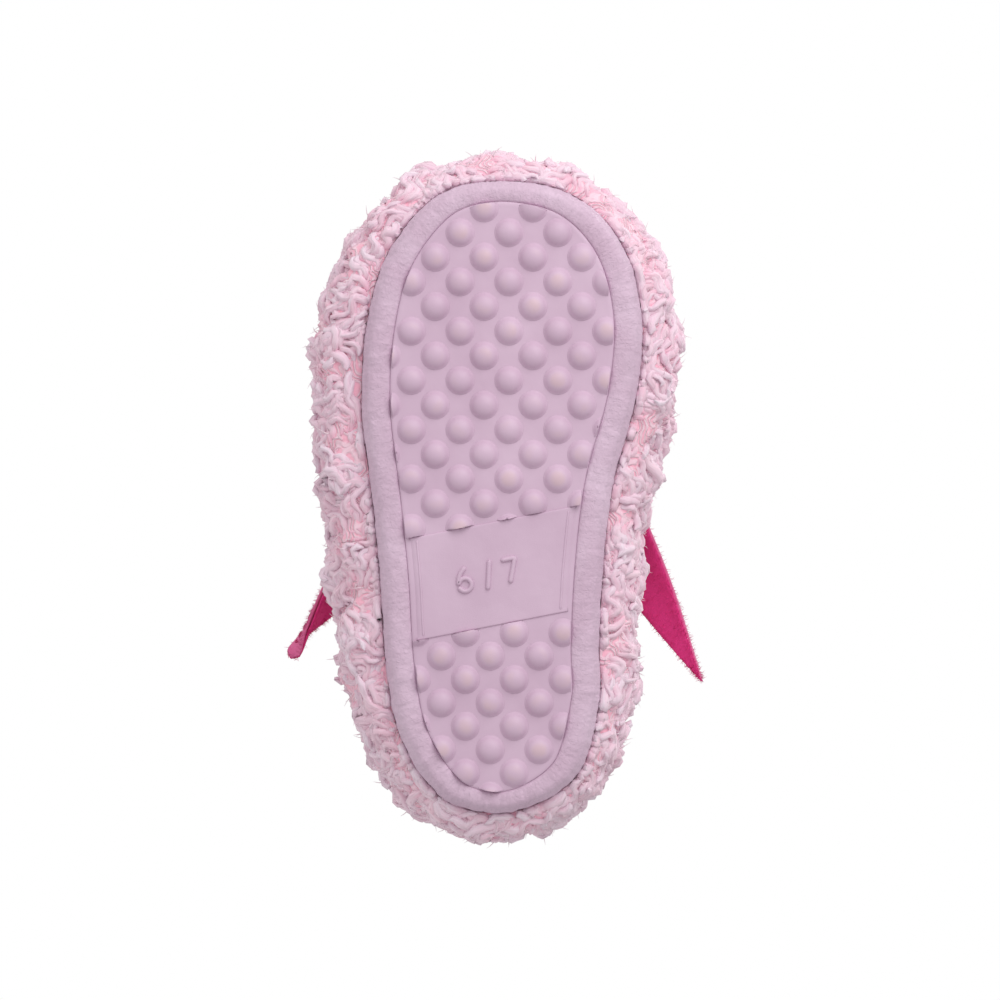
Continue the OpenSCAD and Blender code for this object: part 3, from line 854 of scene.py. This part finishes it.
def ear_layer(side_name, name, low, high, material):
    """One felt layer with softly rounded edges, thinner to its tip."""
    s = np.linspace(0, 1, 46)[:, None]
    w = np.linspace(-1, 1, 17)[None, :]
    x = w * blade_half(side_name, s)
    thin = 1 - 0.5 * np.abs(w) ** 8
    slim = 1 - 0.55 * s**7
    centre = (low + high) / 2 * slim
    thick = (high - low) / 2 * thin * slim
    s_full = np.broadcast_to(s, x.shape)
    faces = (centre - thick, centre + thick)
    bottom, top = (ear_place(side_name, ear_shape(side_name, x, s_full, z)) for z in faces)
    return shell(name, bottom, top, material, body=f"{side_name}_ear")


def ear_fuzz(side_name, name, material, count, seed, face):
    """Short nap fibres that stand out of one felt face and its edge."""
    r = np.random.default_rng(seed)
    s = r.uniform(0.02, 0.995, count)
    w = np.sign(r.uniform(-1, 1, count)) * r.uniform(0, 1, count) ** 0.45
    x = w * blade_half(side_name, s)
    base = ear_shape(side_name, x, s, face * (0.8 - 0.45 * s**7))
    lean_x = np.sign(w) * np.abs(w) ** 5 * 1.2 + r.normal(0, 0.5, count)
    lean_y = r.normal(0.35, 0.5, count)
    lean = unit(np.stack([lean_x, lean_y, np.sign(face) * r.uniform(0.2, 0.8, count)], -1))
    lean = lean * r.uniform(0.5, 1.15, count)[:, None]
    bend = r.normal(0, 0.22, (count, 3))
    t = np.linspace(0, 1, 4)[None, :, None]
    path = base[:, None] + lean[:, None] * t + bend[:, None] * t * t
    radius = np.broadcast_to(np.array([0.07, 0.06, 0.045, 0.012]), (count, 4))
    points, faces, *_ = tubes(ear_place(side_name, path), radius, 3)
    return build(name, points, faces, material, body=f"{side_name}_ear")


def ear_stitches(side_name):
    """Running stitches round the front felt, sunk into it at their ends."""
    inset, pitch = 1.6, 3.1
    s = np.linspace(0.02, 0.93, 400)
    loop = []
    for sign in (-1, 1):
        x = sign * np.maximum(0.3, blade_half(side_name, s) - inset)
        line = np.stack([x, s * EAR_LENGTH], -1)
        loop.append(line if sign < 0 else line[::-1])
    loop = np.concatenate(loop)
    reach = np.concatenate([[0], np.cumsum(np.linalg.norm(np.diff(loop, axis=0), axis=1))])
    count = int(reach[-1] / pitch)
    share = np.linspace(-0.34, 0.34, 7)
    at = (np.arange(count) + 0.5)[:, None] * pitch + share[None] * pitch
    x, y = (np.interp(at, reach, loop[:, k]) for k in (0, 1))
    lift = 1.24 - 0.28 * (share / 0.34) ** 4 - 0.62 * (y / EAR_LENGTH) ** 7
    path = ear_shape(side_name, x, y / EAR_LENGTH, lift)
    radius = np.broadcast_to(0.24 * np.sqrt(1 - (share / 0.345) ** 6), x.shape)
    points, faces, *_ = tubes(ear_place(side_name, path), radius, 7)
    return build(f"{side_name}_ear_stitches", points, faces, EAR_THREAD, body=f"{side_name}_ear")


def ear_root(side_name):
    """Folded tape that each ear's root is sewn into. It stays on the slipper."""
    columns, around = 40, 16
    x = np.linspace(-EAR_ROOT_HALF, EAR_ROOT_HALF, columns)[:, None]
    a = TURN * np.arange(around)[None] / around
    end = np.clip((EAR_ROOT_HALF - np.abs(x)) / 0.8, 0.05, 1) ** 0.5
    wide = np.sign(np.cos(a)) * np.abs(np.cos(a)) ** 0.55
    tall = np.sign(np.sin(a)) * np.abs(np.sin(a)) ** 0.7
    pucker = 0.10 * np.sin(x * 2.1 + 3 * np.sign(wide))
    y = -2.33 + wide * (2.15 * end + pucker)
    z = -0.6 + tall * (0.58 * end) + 0.05 * np.sin(x * 2.9)
    points = ear_place(side_name, np.stack([x + 0 * a, y, z], -1))
    faces = grid_faces(columns, around, wrap_columns=True)[:, ::-1]
    return build(f"{side_name}_ear_root_seam", points, faces, EAR_TAPE)


for side_name, seed in (("left", 71), ("right", 72)):
    back = ear_layer(side_name, f"{side_name}_ear_back", BACK_FACE, -0.12, FELT)
    stand_for(f"{side_name}_ear_back_felt")
    # the front felt and its nap take the lighter felt, which is painted light
    front = ear_layer(side_name, f"{side_name}_ear_front", 0.0, FRONT_FACE, FELT_PAINTED_LIT)
    stand_for(f"{side_name}_ear_front_felt")
    thread = ear_stitches(side_name)
    stand_for(f"{side_name}_ear_edge_stitch")
    under = ear_fuzz(side_name, f"{side_name}_ear_back_nap", FELT, 1500, seed, BACK_FACE)
    over = ear_fuzz(side_name, f"{side_name}_ear_front_nap", FELT_PAINTED_LIT, 1300, seed + 2, FRONT_FACE)
    root = ear_root(side_name)
    stand_for(f"{side_name}_ear_root_tape")

# ---------------------------------------------------------------- curly pile


OPEN_SHARE = 0.9  # part of the foot opening that no pile reaches into


def keep_clear(points):
    """Presses the pile down under the ears, and keeps it out of the foot opening."""
    p = points.copy()
    for side_name, (side, origin) in EARS.items():
        turn = ear_frame(side)
        q = (p - origin) @ turn
        s = np.clip((q[:, 1] - 0.6) / (EAR_LENGTH * 0.96), 0, 1)
        centre, across, _ = ear_line(side_name, s)
        steep = np.clip(across[:, 2] / np.maximum(np.abs(across[:, 0]), 0.3), -1.3, 1.3)
        off = q[:, 0] - centre[:, 0]
        reach = np.maximum(blade_half(side_name, s), 7.2) * np.clip(np.abs(across[:, 0]), 0.45, 1)
        # full under the ear, fading out past its edges, behind its root and past its tip
        amount = np.clip(1 - (np.abs(off) - reach - 1.2) / 3.0, 0, 1)
        amount = amount * np.clip(1 - (-q[:, 1] - 4.2) / 2.6, 0, 1)
        amount = amount * np.clip(1 - (q[:, 1] - EAR_LENGTH) / 3.0, 0, 1)
        under = 1.35 + 0.95 * np.clip(q[:, 1] / 1.5, 0, 1) + 0.9 * np.clip(s * 3, 0, 1)
        ceiling = centre[:, 2] + np.clip(off, -reach, reach) * steep - under
        over = np.maximum(0, q[:, 2] - ceiling)
        q[:, 2] -= over * 0.95 * amount
        p = np.where((over * amount > 0)[:, None], q @ turn.T + origin, p)
    e = np.stack([p[:, 0] / RIM_HALF[0], (p[:, 1] - RIM_MIDDLE_Y) / RIM_HALF[1]], -1)
    r = np.linalg.norm(e, axis=1)
    inside = (r < OPEN_SHARE) & (p[:, 2] > 40)
    grow = np.where(inside, OPEN_SHARE, r) / np.maximum(r, 1e-6)
    p[:, 0] = e[:, 0] * grow * RIM_HALF[0]
    p[:, 1] = e[:, 1] * grow * RIM_HALF[1] + RIM_MIDDLE_Y
    return p


# the pile rolls under to the band, down to ROLL_T outside the lining and by ROLL_DROP,
# and in over the opening
ROLL_T, ROLL_DROP, LIP_IN, LIP_LOW = 6.2, 4.2, 1.8, 7.3


def skin(u, q, share):
    """Point of the pile, with share 0 at the backing cloth and 1 at the tips.

    q is 0 to 1 from the sole up to the opening, below 0 rolled under to the band, and over 1 rolled in.
    """
    u, q, share = np.broadcast_arrays(np.asarray(u, float), q, share)
    v = np.clip(q, 0, 1)
    fuller = np.interp(u - np.floor(u), FULLER[:, 0], FULLER[:, 1]) * (1 - v * v)
    t = PLUSH_FROM + share * (pile(u, v) + fuller - PLUSH_FROM)
    side = wall(u, v, t)
    p, n = edge(u)
    under = np.clip(-q, 0, 1) * np.pi / 2
    low_t = ROLL_T + (t - ROLL_T) * np.cos(under)
    low = at_height(p + n * (low_t - INSET)[..., None], BASE - ROLL_DROP * np.sin(under))
    over = np.clip(q - 1, 0, 1) * np.pi / 2
    a = rim_angle(u)
    rim, out = rim_plan(a)
    lip_z = rim_height(a) + t - np.maximum(0, t - LIP_LOW) * (1 - np.cos(over))
    lip = at_height(rim - out * (LIP_IN * np.sin(over))[..., None], lip_z)
    return np.where((q < 0)[..., None], low, np.where((q > 1)[..., None], lip, side))


def lumpy(u, q):
    """Share of the pile's depth that its matted body fills: large soft lumps with smaller ones on them."""
    where = skin(u, q, 0.8)
    flat = where.reshape(-1, 3)
    share = 0.86 + 0.075 * waves(flat, 16, 40) + 0.065 * waves(flat, 8, 41) + 0.025 * waves(flat, 3.4, 42)
    # fuller round the ears' roots, so that their tapes sit on it
    for side, origin in EARS.values():
        q = (flat - origin) @ ear_frame(side)
        near = np.hypot(np.maximum(0, np.abs(q[:, 0]) - 6), q[:, 1] + 2.5)
        share += (1.12 - share) * np.clip(1 - (near - 3) / 5, 0, 1) * (q[:, 2] > -14)
    return np.clip(share.reshape(where.shape[:-1]), 0.5, 1.15)


def body_point(u, q):
    return skin(u, q, lumpy(u, q))


BODY_SHARE = 0.85  # about where the strands lie in the pile's depth


def body_frame(u, q):
    """Round, upward and outward directions on the pile's body.

    Also the millimetres that each unit of u and q covers.
    """
    du, dq = 0.0015, 0.012
    round_ = (skin(u + du, q, BODY_SHARE) - skin(u - du, q, BODY_SHARE)) / (2 * du)
    up = (skin(u, q + dq, BODY_SHARE) - skin(u, q - dq, BODY_SHARE)) / (2 * dq)
    per_u, per_q = (np.linalg.norm(x, axis=-1) for x in (round_, up))
    round_, up = unit(round_), unit(up)
    return round_, up, unit(np.cross(round_, up)), np.maximum(per_u, 40), np.maximum(per_q, 3)


def sites(u_from, u_to, spacing, seed):
    """Evenly scattered places over a panel of the pile, no nearer to each other than the spacing."""
    r = np.random.default_rng(seed)
    us, qs = np.linspace(u_from, u_to, 121), np.linspace(-0.92, 1.7, 81)
    grid = skin(us[:, None], qs[None, :], BODY_SHARE)
    du, dq = np.diff(grid, axis=0)[:, :-1], np.diff(grid, axis=1)[:-1]
    area = np.linalg.norm(np.cross(du, dq), axis=-1)
    tries = int(area.sum() / spacing**2 * 8)
    cell = r.choice(area.size, tries, p=(area / area.sum()).ravel())
    i, j = np.unravel_index(cell, area.shape)
    u = us[i] + (us[1] - us[0]) * r.uniform(size=tries)
    q = qs[j] + (qs[1] - qs[0]) * r.uniform(size=tries)
    p = skin(u, q, BODY_SHARE)
    kept, taken = [], {}
    cells = (p // spacing).astype(int)
    around = [(x, y, z) for x in (-1, 0, 1) for y in (-1, 0, 1) for z in (-1, 0, 1)]
    for k in range(tries):
        a, b, c = cells[k]
        near = [m for x, y, z in around for m in taken.get((a + x, b + y, c + z), ())]
        if not near or ((p[near] - p[k]) ** 2).sum(1).min() >= spacing**2:
            kept.append(k)
            taken.setdefault((a, b, c), []).append(k)
    return u[kept], q[kept]


def band_face(z):
    """Distance of the band's outer face from the sole's edge at a height."""
    return np.interp(z, [1.5, 2.4, 3.6, 5.2, 6.9, 11.5], [-3.4, -2.0, -1.1, -0.3, 0.0, 0.0])


def off_the_band(paths, u, radii):
    """Moves strands out of the edge band and the platform behind it."""
    room = 0.12
    p, n = edge(u)
    d = ((paths[..., :2] - p) * n).sum(-1)
    low = np.clip((12.4 - paths[..., 2]) / 0.8, 0, 1)
    push = np.maximum(0, band_face(paths[..., 2]) + radii * 0.8 + room - d) * low
    out = paths.copy()
    out[..., :2] += n * push[..., None]
    return out


RINGS, CLUMP_SPACING, HAIR_SPACING = 11, 3.6, 3.8


def strand_paths(u_from, u_to, seed):
    """Matted curly strands, in clumps that swirl over the body of the pile.

    Returns their paths, radii, shades and turns.
    """
    r = np.random.default_rng(seed)
    u, q = sites(u_from, u_to, CLUMP_SPACING, seed)
    clumps = len(u)
    many = r.integers(3, 6, clumps)
    owner = np.repeat(np.arange(clumps), many)
    rank = np.concatenate([np.arange(m) - (m - 1) / 2 for m in many])
    u, q = u[owner], q[owner]
    count = len(u)
    heading = r.normal(0, 0.55, clumps)[owner] + r.normal(0, 0.13, count)
    bend_phase = r.uniform(0, TURN, clumps)[owner] + r.normal(0, 0.35, count)
    bends = r.uniform(1.0, 2.1, clumps)[owner]
    swing = r.uniform(0.5, 1.25, clumps)[owner]
    length = r.uniform(9, 16, clumps)[owner] * r.uniform(0.8, 1.1, count)
    *_, per_u, per_q = body_frame(u, q)
    middle = skin(u, q, BODY_SHARE)
    start = 2.4 * waves(middle, 30, 5) + 1.0 * waves(middle, 12, 6) + heading
    sideways = rank * r.uniform(1.35, 1.95, count)
    u = u - np.sin(start) * sideways / per_u
    q = q + np.cos(start) * sideways / per_q
    step = length / (RINGS - 1)
    us, points, outs = [], [], []
    for k in range(RINGS):
        s = k / (RINGS - 1)
        q = np.clip(q, -0.95, 1.9)
        _, _, out, per_u, per_q = body_frame(u, q)
        us.append(u)
        points.append(body_point(u, q))
        outs.append(out)
        angle = start + swing * np.sin(bend_phase + bends * TURN * s)
        u = u + np.cos(angle) * step / per_u
        q = q + np.sin(angle) * step / per_q
    s = np.linspace(0, 1, RINGS)[None]
    top = (r.uniform(-0.45, 0.65, count) - 0.35 * np.abs(rank))[:, None]
    height = top * np.sin(np.pi * s**0.8) ** 0.7 - 0.75 * (1 - np.sin(np.pi * s) ** 0.4)
    height = height + 0.35 * np.sin(bend_phase[:, None] * 1.7 + s * 9)
    loose = (r.uniform(size=count) < 0.14)[:, None]
    height = np.where(loose, height + 2.1 * s**3, height)
    path = np.stack(points, 1) + np.stack(outs, 1) * height[..., None]
    thick = r.uniform(0.75, 1.3, count)[:, None]
    plump = 0.45 + 0.75 * np.sin(np.pi * np.clip(s * 0.93 + 0.04, 0, 1)) ** 0.55
    radii = thick * plump * np.clip((1 - s) / 0.10, 0.02, 1) ** 0.5 + 0.01
    path = off_the_band(path, np.stack(us, 1), radii)
    where = path[:, RINGS // 2]
    shade = 0.55 + 0.25 * waves(where, 24, 9) + r.normal(0, 0.10, clumps)[owner] + r.normal(0, 0.07, count)
    return path, radii, np.clip(shade, 0, 1), r.uniform(0, TURN, count)


def pile_body(name, u_from, u_to, columns):
    """The matted lower part of the pile, closed down to its backing cloth."""
    u = np.linspace(u_from, u_to, columns)[:, None]
    q = np.concatenate([np.linspace(-1, 0, 11), np.linspace(0, 1, 45)[1:], np.linspace(1, 2, 8)[1:]])[None, :]
    outer = body_point(u, q)
    outer = keep_clear(outer.reshape(-1, 3)).reshape(outer.shape)
    inner = wall(u, np.clip(q, 0, 1), PLUSH_FROM + 0 * u)
    rolled = np.broadcast_to(q < 0, inner.shape[:2])
    p, n = edge(np.broadcast_to(u, rolled.shape))
    inner[rolled, :2] = (p + n * 0.12)[rolled]
    inner[rolled, 2] = (BASE + (ROLL_DROP - 0.1) * np.broadcast_to(q, rolled.shape))[rolled]
    lip = np.broadcast_to(q > 1, inner.shape[:2])
    inner[lip, 2] += (np.broadcast_to(q - 1, lip.shape) * (LIP_LOW - PLUSH_FROM - 0.1))[lip]
    return shell(name, inner, outer, PILE_BODY)


def pile_curls(name, u_from, u_to, seed):
    """The strands of a panel, each a flattened tube with an uneven side."""
    path, radii, shade, phase = strand_paths(u_from, u_to, seed)
    swell = np.random.default_rng(seed + 50).uniform(0.8, 1.24, (*radii.shape, 5))
    points, faces, uv, along, number = tubes(path, radii, 5, flat=0.8, phase=phase, swell=swell)
    marks = {"along": along, "lock": number, "shade": shade[number]}
    obj = build(name, keep_clear(points), faces, CURL, uv=uv, floats=marks, turn_out=False)


def pile_hairs(name, u_from, u_to, seed):
    """Fine loose hairs that stand a little out of the curls."""
    r = np.random.default_rng(seed)
    u, q = sites(u_from, u_to, HAIR_SPACING, seed)
    root = body_point(u, q)
    round_, up, out, _, _ = body_frame(u, q)
    angle = r.uniform(0, TURN, len(u))
    side = np.cos(angle)[:, None] * round_ + np.sin(angle)[:, None] * up
    t = np.linspace(0, 1, 5)[None, :, None]
    length = r.uniform(1.4, 3.0, len(u))[:, None, None]
    path = root[:, None] + out[:, None] * length * t + side[:, None] * length * 0.8 * t**2
    path = path + r.normal(0, 0.3, (len(u), 1, 3)) * t**3
    radii = np.broadcast_to(np.array([0.16, 0.15, 0.12, 0.08, 0.02]), (len(u), 5))
    path = off_the_band(path, np.broadcast_to(u[:, None], radii.shape), radii)
    points, faces, *_ = tubes(path, radii, 3)
    obj = build(name, keep_clear(points), faces, HAIR, turn_out=False)


SEAM_GAP = 0.0006
BODY_GAP = 0.0001
FRONT_FROM = RIGHT_SEAM - 1
for name, u_from, u_to, seed in (
    ("vamp_right_side", FRONT_FROM + SEAM_GAP, 0.0, 11),
    ("vamp_left_side", 0.0, LEFT_SEAM - SEAM_GAP, 12),
    ("left_quarter", LEFT_SEAM + SEAM_GAP, BACK_SEAM - SEAM_GAP, 13),
    ("right_quarter", BACK_SEAM + SEAM_GAP, RIGHT_SEAM - SEAM_GAP, 14),
):
    pile_curls(f"{name}_curls", u_from, u_to, seed)
    pile_hairs(f"{name}_loose_hairs", u_from, u_to, seed + 20)

# each cut piece of plush with its share round the foot, and the columns of its pile and of its wadding
CUTS = [
    ("vamp", FRONT_FROM, LEFT_SEAM, 260, 90),
    ("left_quarter", LEFT_SEAM, BACK_SEAM, 110, 40),
    ("right_quarter", BACK_SEAM, RIGHT_SEAM, 110, 40),
]
for name, u_from, u_to, columns, _ in CUTS:
    body = pile_body(f"{name}_pile_body", u_from + BODY_GAP, u_to - BODY_GAP, columns)
    stand_for(f"{name}_plush")

# ---------------------------------------------------------------- inside of the upper

for name, u_from, u_to, _, columns in CUTS:
    span = (u_from + SEAM_GAP, u_to - SEAM_GAP)
    pad = wall_piece(f"{name}_wadding", span, (0, 0.97), (1.2, 3.1), columns, 24, WADDING, 0.35, 21)
    stand_for(f"{name}_padding")


def cut_size(u_from, u_to):
    """Flat width, length and area in metres of the cloth that covers a stretch of the upper."""
    u = np.linspace(u_from, u_to, 160)[:, None]
    p = wall(u, np.linspace(0, 1, 60)[None], 0.5)
    du, dv = np.diff(p, axis=0), np.diff(p, axis=1)
    around = np.linalg.norm(du, axis=-1).sum(0).max()
    tall = np.linalg.norm(dv, axis=-1).sum(1).max()
    area = np.linalg.norm(np.cross(du[:, :-1], dv[:-1]), axis=-1).sum()
    return (float(tall * MM), float(around * MM)), float(area * MM * MM)


for name, u_from, u_to, columns, seed in (
    ("vamp", FRONT_FROM, LEFT_SEAM, 110, 22),
    ("quarter", LEFT_SEAM, RIGHT_SEAM, 100, 23),
):
    span = (u_from + SEAM_GAP, u_to - SEAM_GAP)
    lining = wall_piece(f"{name}_fleece_lining", span, (0, 1), (0, 1), columns, 34, LINING, 0.22, seed)
    stand_for(f"{name}_lining")
    cut, cut_area = cut_size(u_from, u_to)
counter = wall_piece("heel_counter_board", (0.4, 0.62), (0.02, 0.5), (3.3, 4.1), 50, 14, BOARD)
stand_for("heel_counter")
for name, seam, v_from in (("left", LEFT_SEAM, 0.02), ("right", RIGHT_SEAM, 0.02), ("back", BACK_SEAM, 0.53)):
    span = (seam - 0.014, seam + 0.014)
    tape = wall_piece(f"{name}_seam_tape_strip", span, (v_from, 0.96), (3.3, 3.7), 8, 24, TAPE)
    stand_for(f"{name}_seam_tape")

FOOTBED = -6.9  # edge of the layers inside the upper, past the sole's edge
midsole = plate_piece("midsole_foam_block", -1.6, 5.1, 12.0, FOAM)
stand_for("midsole_foam")
cushion = plate_piece("insole_foam_pad", FOOTBED, 12.2, 15.2, FOAM)
stand_for("insole_foam")


# stitches that follow the footbed's border, sunk into the sock lining at their ends
SOCK_Z, BORDER_STITCHES = 16.5, 110
share = np.linspace(-0.33, 0.33, 7)
border_u = (np.arange(BORDER_STITCHES)[:, None] + 0.5 + share) / BORDER_STITCHES
border_plan = edge_moved(border_u, np.full(border_u.shape, -11.5))
border_paths = at_height(border_plan, SOCK_Z - 0.45 * (share / 0.33) ** 4)
border_radii = np.broadcast_to(0.3 * np.sqrt(1 - (share / 0.335) ** 6), border_u.shape)
points, faces, *_ = tubes(border_paths, border_radii, 7)
sock_stitches = build("sock_lining_border_stitches", points, faces, SEAM_THREAD)
sock = plate_piece("sock_lining_sheet", FOOTBED, 15.25, SOCK_Z, SOCK, dish=0.12)
stand_for("sock_lining")


def opening_rows(profile, steps, ripple, count):
    """Sections round the foot opening, gathered a number of times round it.

    Profile points are [distance outwards, height over the lining's edge].
    """
    a = TURN * np.arange(steps) / steps
    rim, out = rim_plan(a)
    profile = np.asarray(profile, float)
    centre = profile.mean(0)
    gather = 1 + ripple * np.sin(a * count)[:, None] + 0.3 * ripple * np.sin(a * count * 2.37 + 1)[:, None]
    d = centre[0] + (profile[:, 0] - centre[0])[None] * gather
    h = centre[1] + (profile[:, 1] - centre[1])[None] * (1 + (gather - 1) * 0.25)
    return at_height(rim[:, None] + out[:, None] * d[..., None], rim_height(a)[:, None] + h)


BINDING_SECTION = [
    [-0.45, -1.4], [-0.4, -0.8], [-1.15, -0.75], [-1.6, 0.4], [-1.6, 2.6], [-1.6, 4.8],
    [-1.1, 5.7], [-0.45, 5.8], [-0.45, 6.4], [-1.1, 6.9], [-2.0, 6.6],
    [-2.5, 5.2], [-2.6, 2.6], [-2.5, 0.0], [-2.0, -1.4], [-1.1, -1.7],
]
ELASTIC_SECTION = [
    [-0.62, -0.3], [-0.95, -0.42], [-1.32, -0.3], [-1.4, 2.5],
    [-1.32, 5.3], [-0.95, 5.4], [-0.62, 5.3], [-0.58, 2.5],
]
collar = sweep("collar_binding_roll", opening_rows(smooth_line(BINDING_SECTION, 3), 540, 0.10, 92), BINDING)
stand_for("collar_binding")
elastic = sweep("collar_elastic_band", opening_rows(ELASTIC_SECTION, 300, 0.04, 120), ELASTIC)
stand_for("collar_elastic")

# ---------------------------------------------------------------- floor, light and camera

# the floor shows from above only, so that the camera under it sees the sole
floor_mat, tree, bsdf = material("studio_floor", 0.9)
bsdf.inputs["Base Color"].default_value = (0.86, 0.855, 0.86, 1)
underside = add(tree, "ShaderNodeNewGeometry").outputs["Backfacing"]
clear = add(tree, "ShaderNodeBsdfTransparent")
both = add(tree, "ShaderNodeMixShader", {"Fac": underside, 1: bsdf.outputs[0], 2: clear.outputs[0]})
tree.links.new(both.outputs[0], tree.nodes["Material Output"].inputs["Surface"])
bpy.ops.mesh.primitive_plane_add(size=12, location=(0, 0, -0.0003))
floor = bpy.context.object
floor.name = "studio_floor"
floor.data.materials.append(floor_mat)
floor.visible_shadow = False
floor.visible_diffuse = False
floor.visible_glossy = False

# light from the toe's side is stronger, and the camera sees a plain backdrop
world = bpy.data.worlds.new("studio")
bpy.context.scene.world = world
world.use_nodes = True
sky = world.node_tree
soft = sky.nodes["Background"]
toward = add(sky, "ShaderNodeSeparateXYZ", {"Vector": add(sky, "ShaderNodeTexCoord").outputs["Generated"]})
to_heel = add(sky, "ShaderNodeMapRange", {"Value": toward.outputs["Y"], "From Min": -1.0, "From Max": 1.0})
shine = ramp(sky, to_heel.outputs["Result"], (0.0, (1, 0.985, 0.99)), (1.0, (0.62, 0.61, 0.615)))
sky.links.new(shine, soft.inputs["Color"])
soft.inputs["Strength"].default_value = 0.92
backdrop = ramp(sky, toward.outputs["Z"], (0.0, (0.62, 0.615, 0.62)), (0.35, grey(1.0)))
plain = add(sky, "ShaderNodeBackground", {"Color": backdrop, "Strength": 1.0})
seen = add(sky, "ShaderNodeLightPath").outputs["Is Camera Ray"]
choice = add(sky, "ShaderNodeMixShader", {"Fac": seen, 1: soft.outputs[0], 2: plain.outputs[0]})
sky.links.new(choice.outputs[0], sky.nodes["World Output"].inputs["Surface"])


def softbox(name, where, target, size, power):
    """Square area light that faces a target."""
    light = bpy.data.lights.new(name, "AREA")
    light.shape = "SQUARE"
    light.size = size
    light.energy = power
    obj = bpy.data.objects.new(name, light)
    obj.location = where
    obj.rotation_euler = (Vector(target) - Vector(where)).to_track_quat("-Z", "Y").to_euler()
    obj.visible_camera = False
    bpy.context.scene.collection.objects.link(obj)


softbox("low_key", (0.22, -0.44, -0.42), (0, -0.02, 0), 0.45, 2.0)
softbox("top_key", (0.7, -0.6, 1.1), (0, 0, 0.03), 0.7, 7.0)
softbox("top_fill", (-0.9, 0.5, 0.8), (0, 0, 0.03), 0.9, 2.0)

camera = bpy.data.cameras.new("camera")
camera.lens = 135
camera.sensor_width = 36
camera_object = bpy.data.objects.new("camera", camera)
camera_object.location = (0, 0.000245, -0.919)
camera_object.rotation_euler = (math.pi, 0, 0)
bpy.context.scene.collection.objects.link(camera_object)
bpy.context.scene.camera = camera_object
bpy.context.scene.view_settings.view_transform = "Standard"
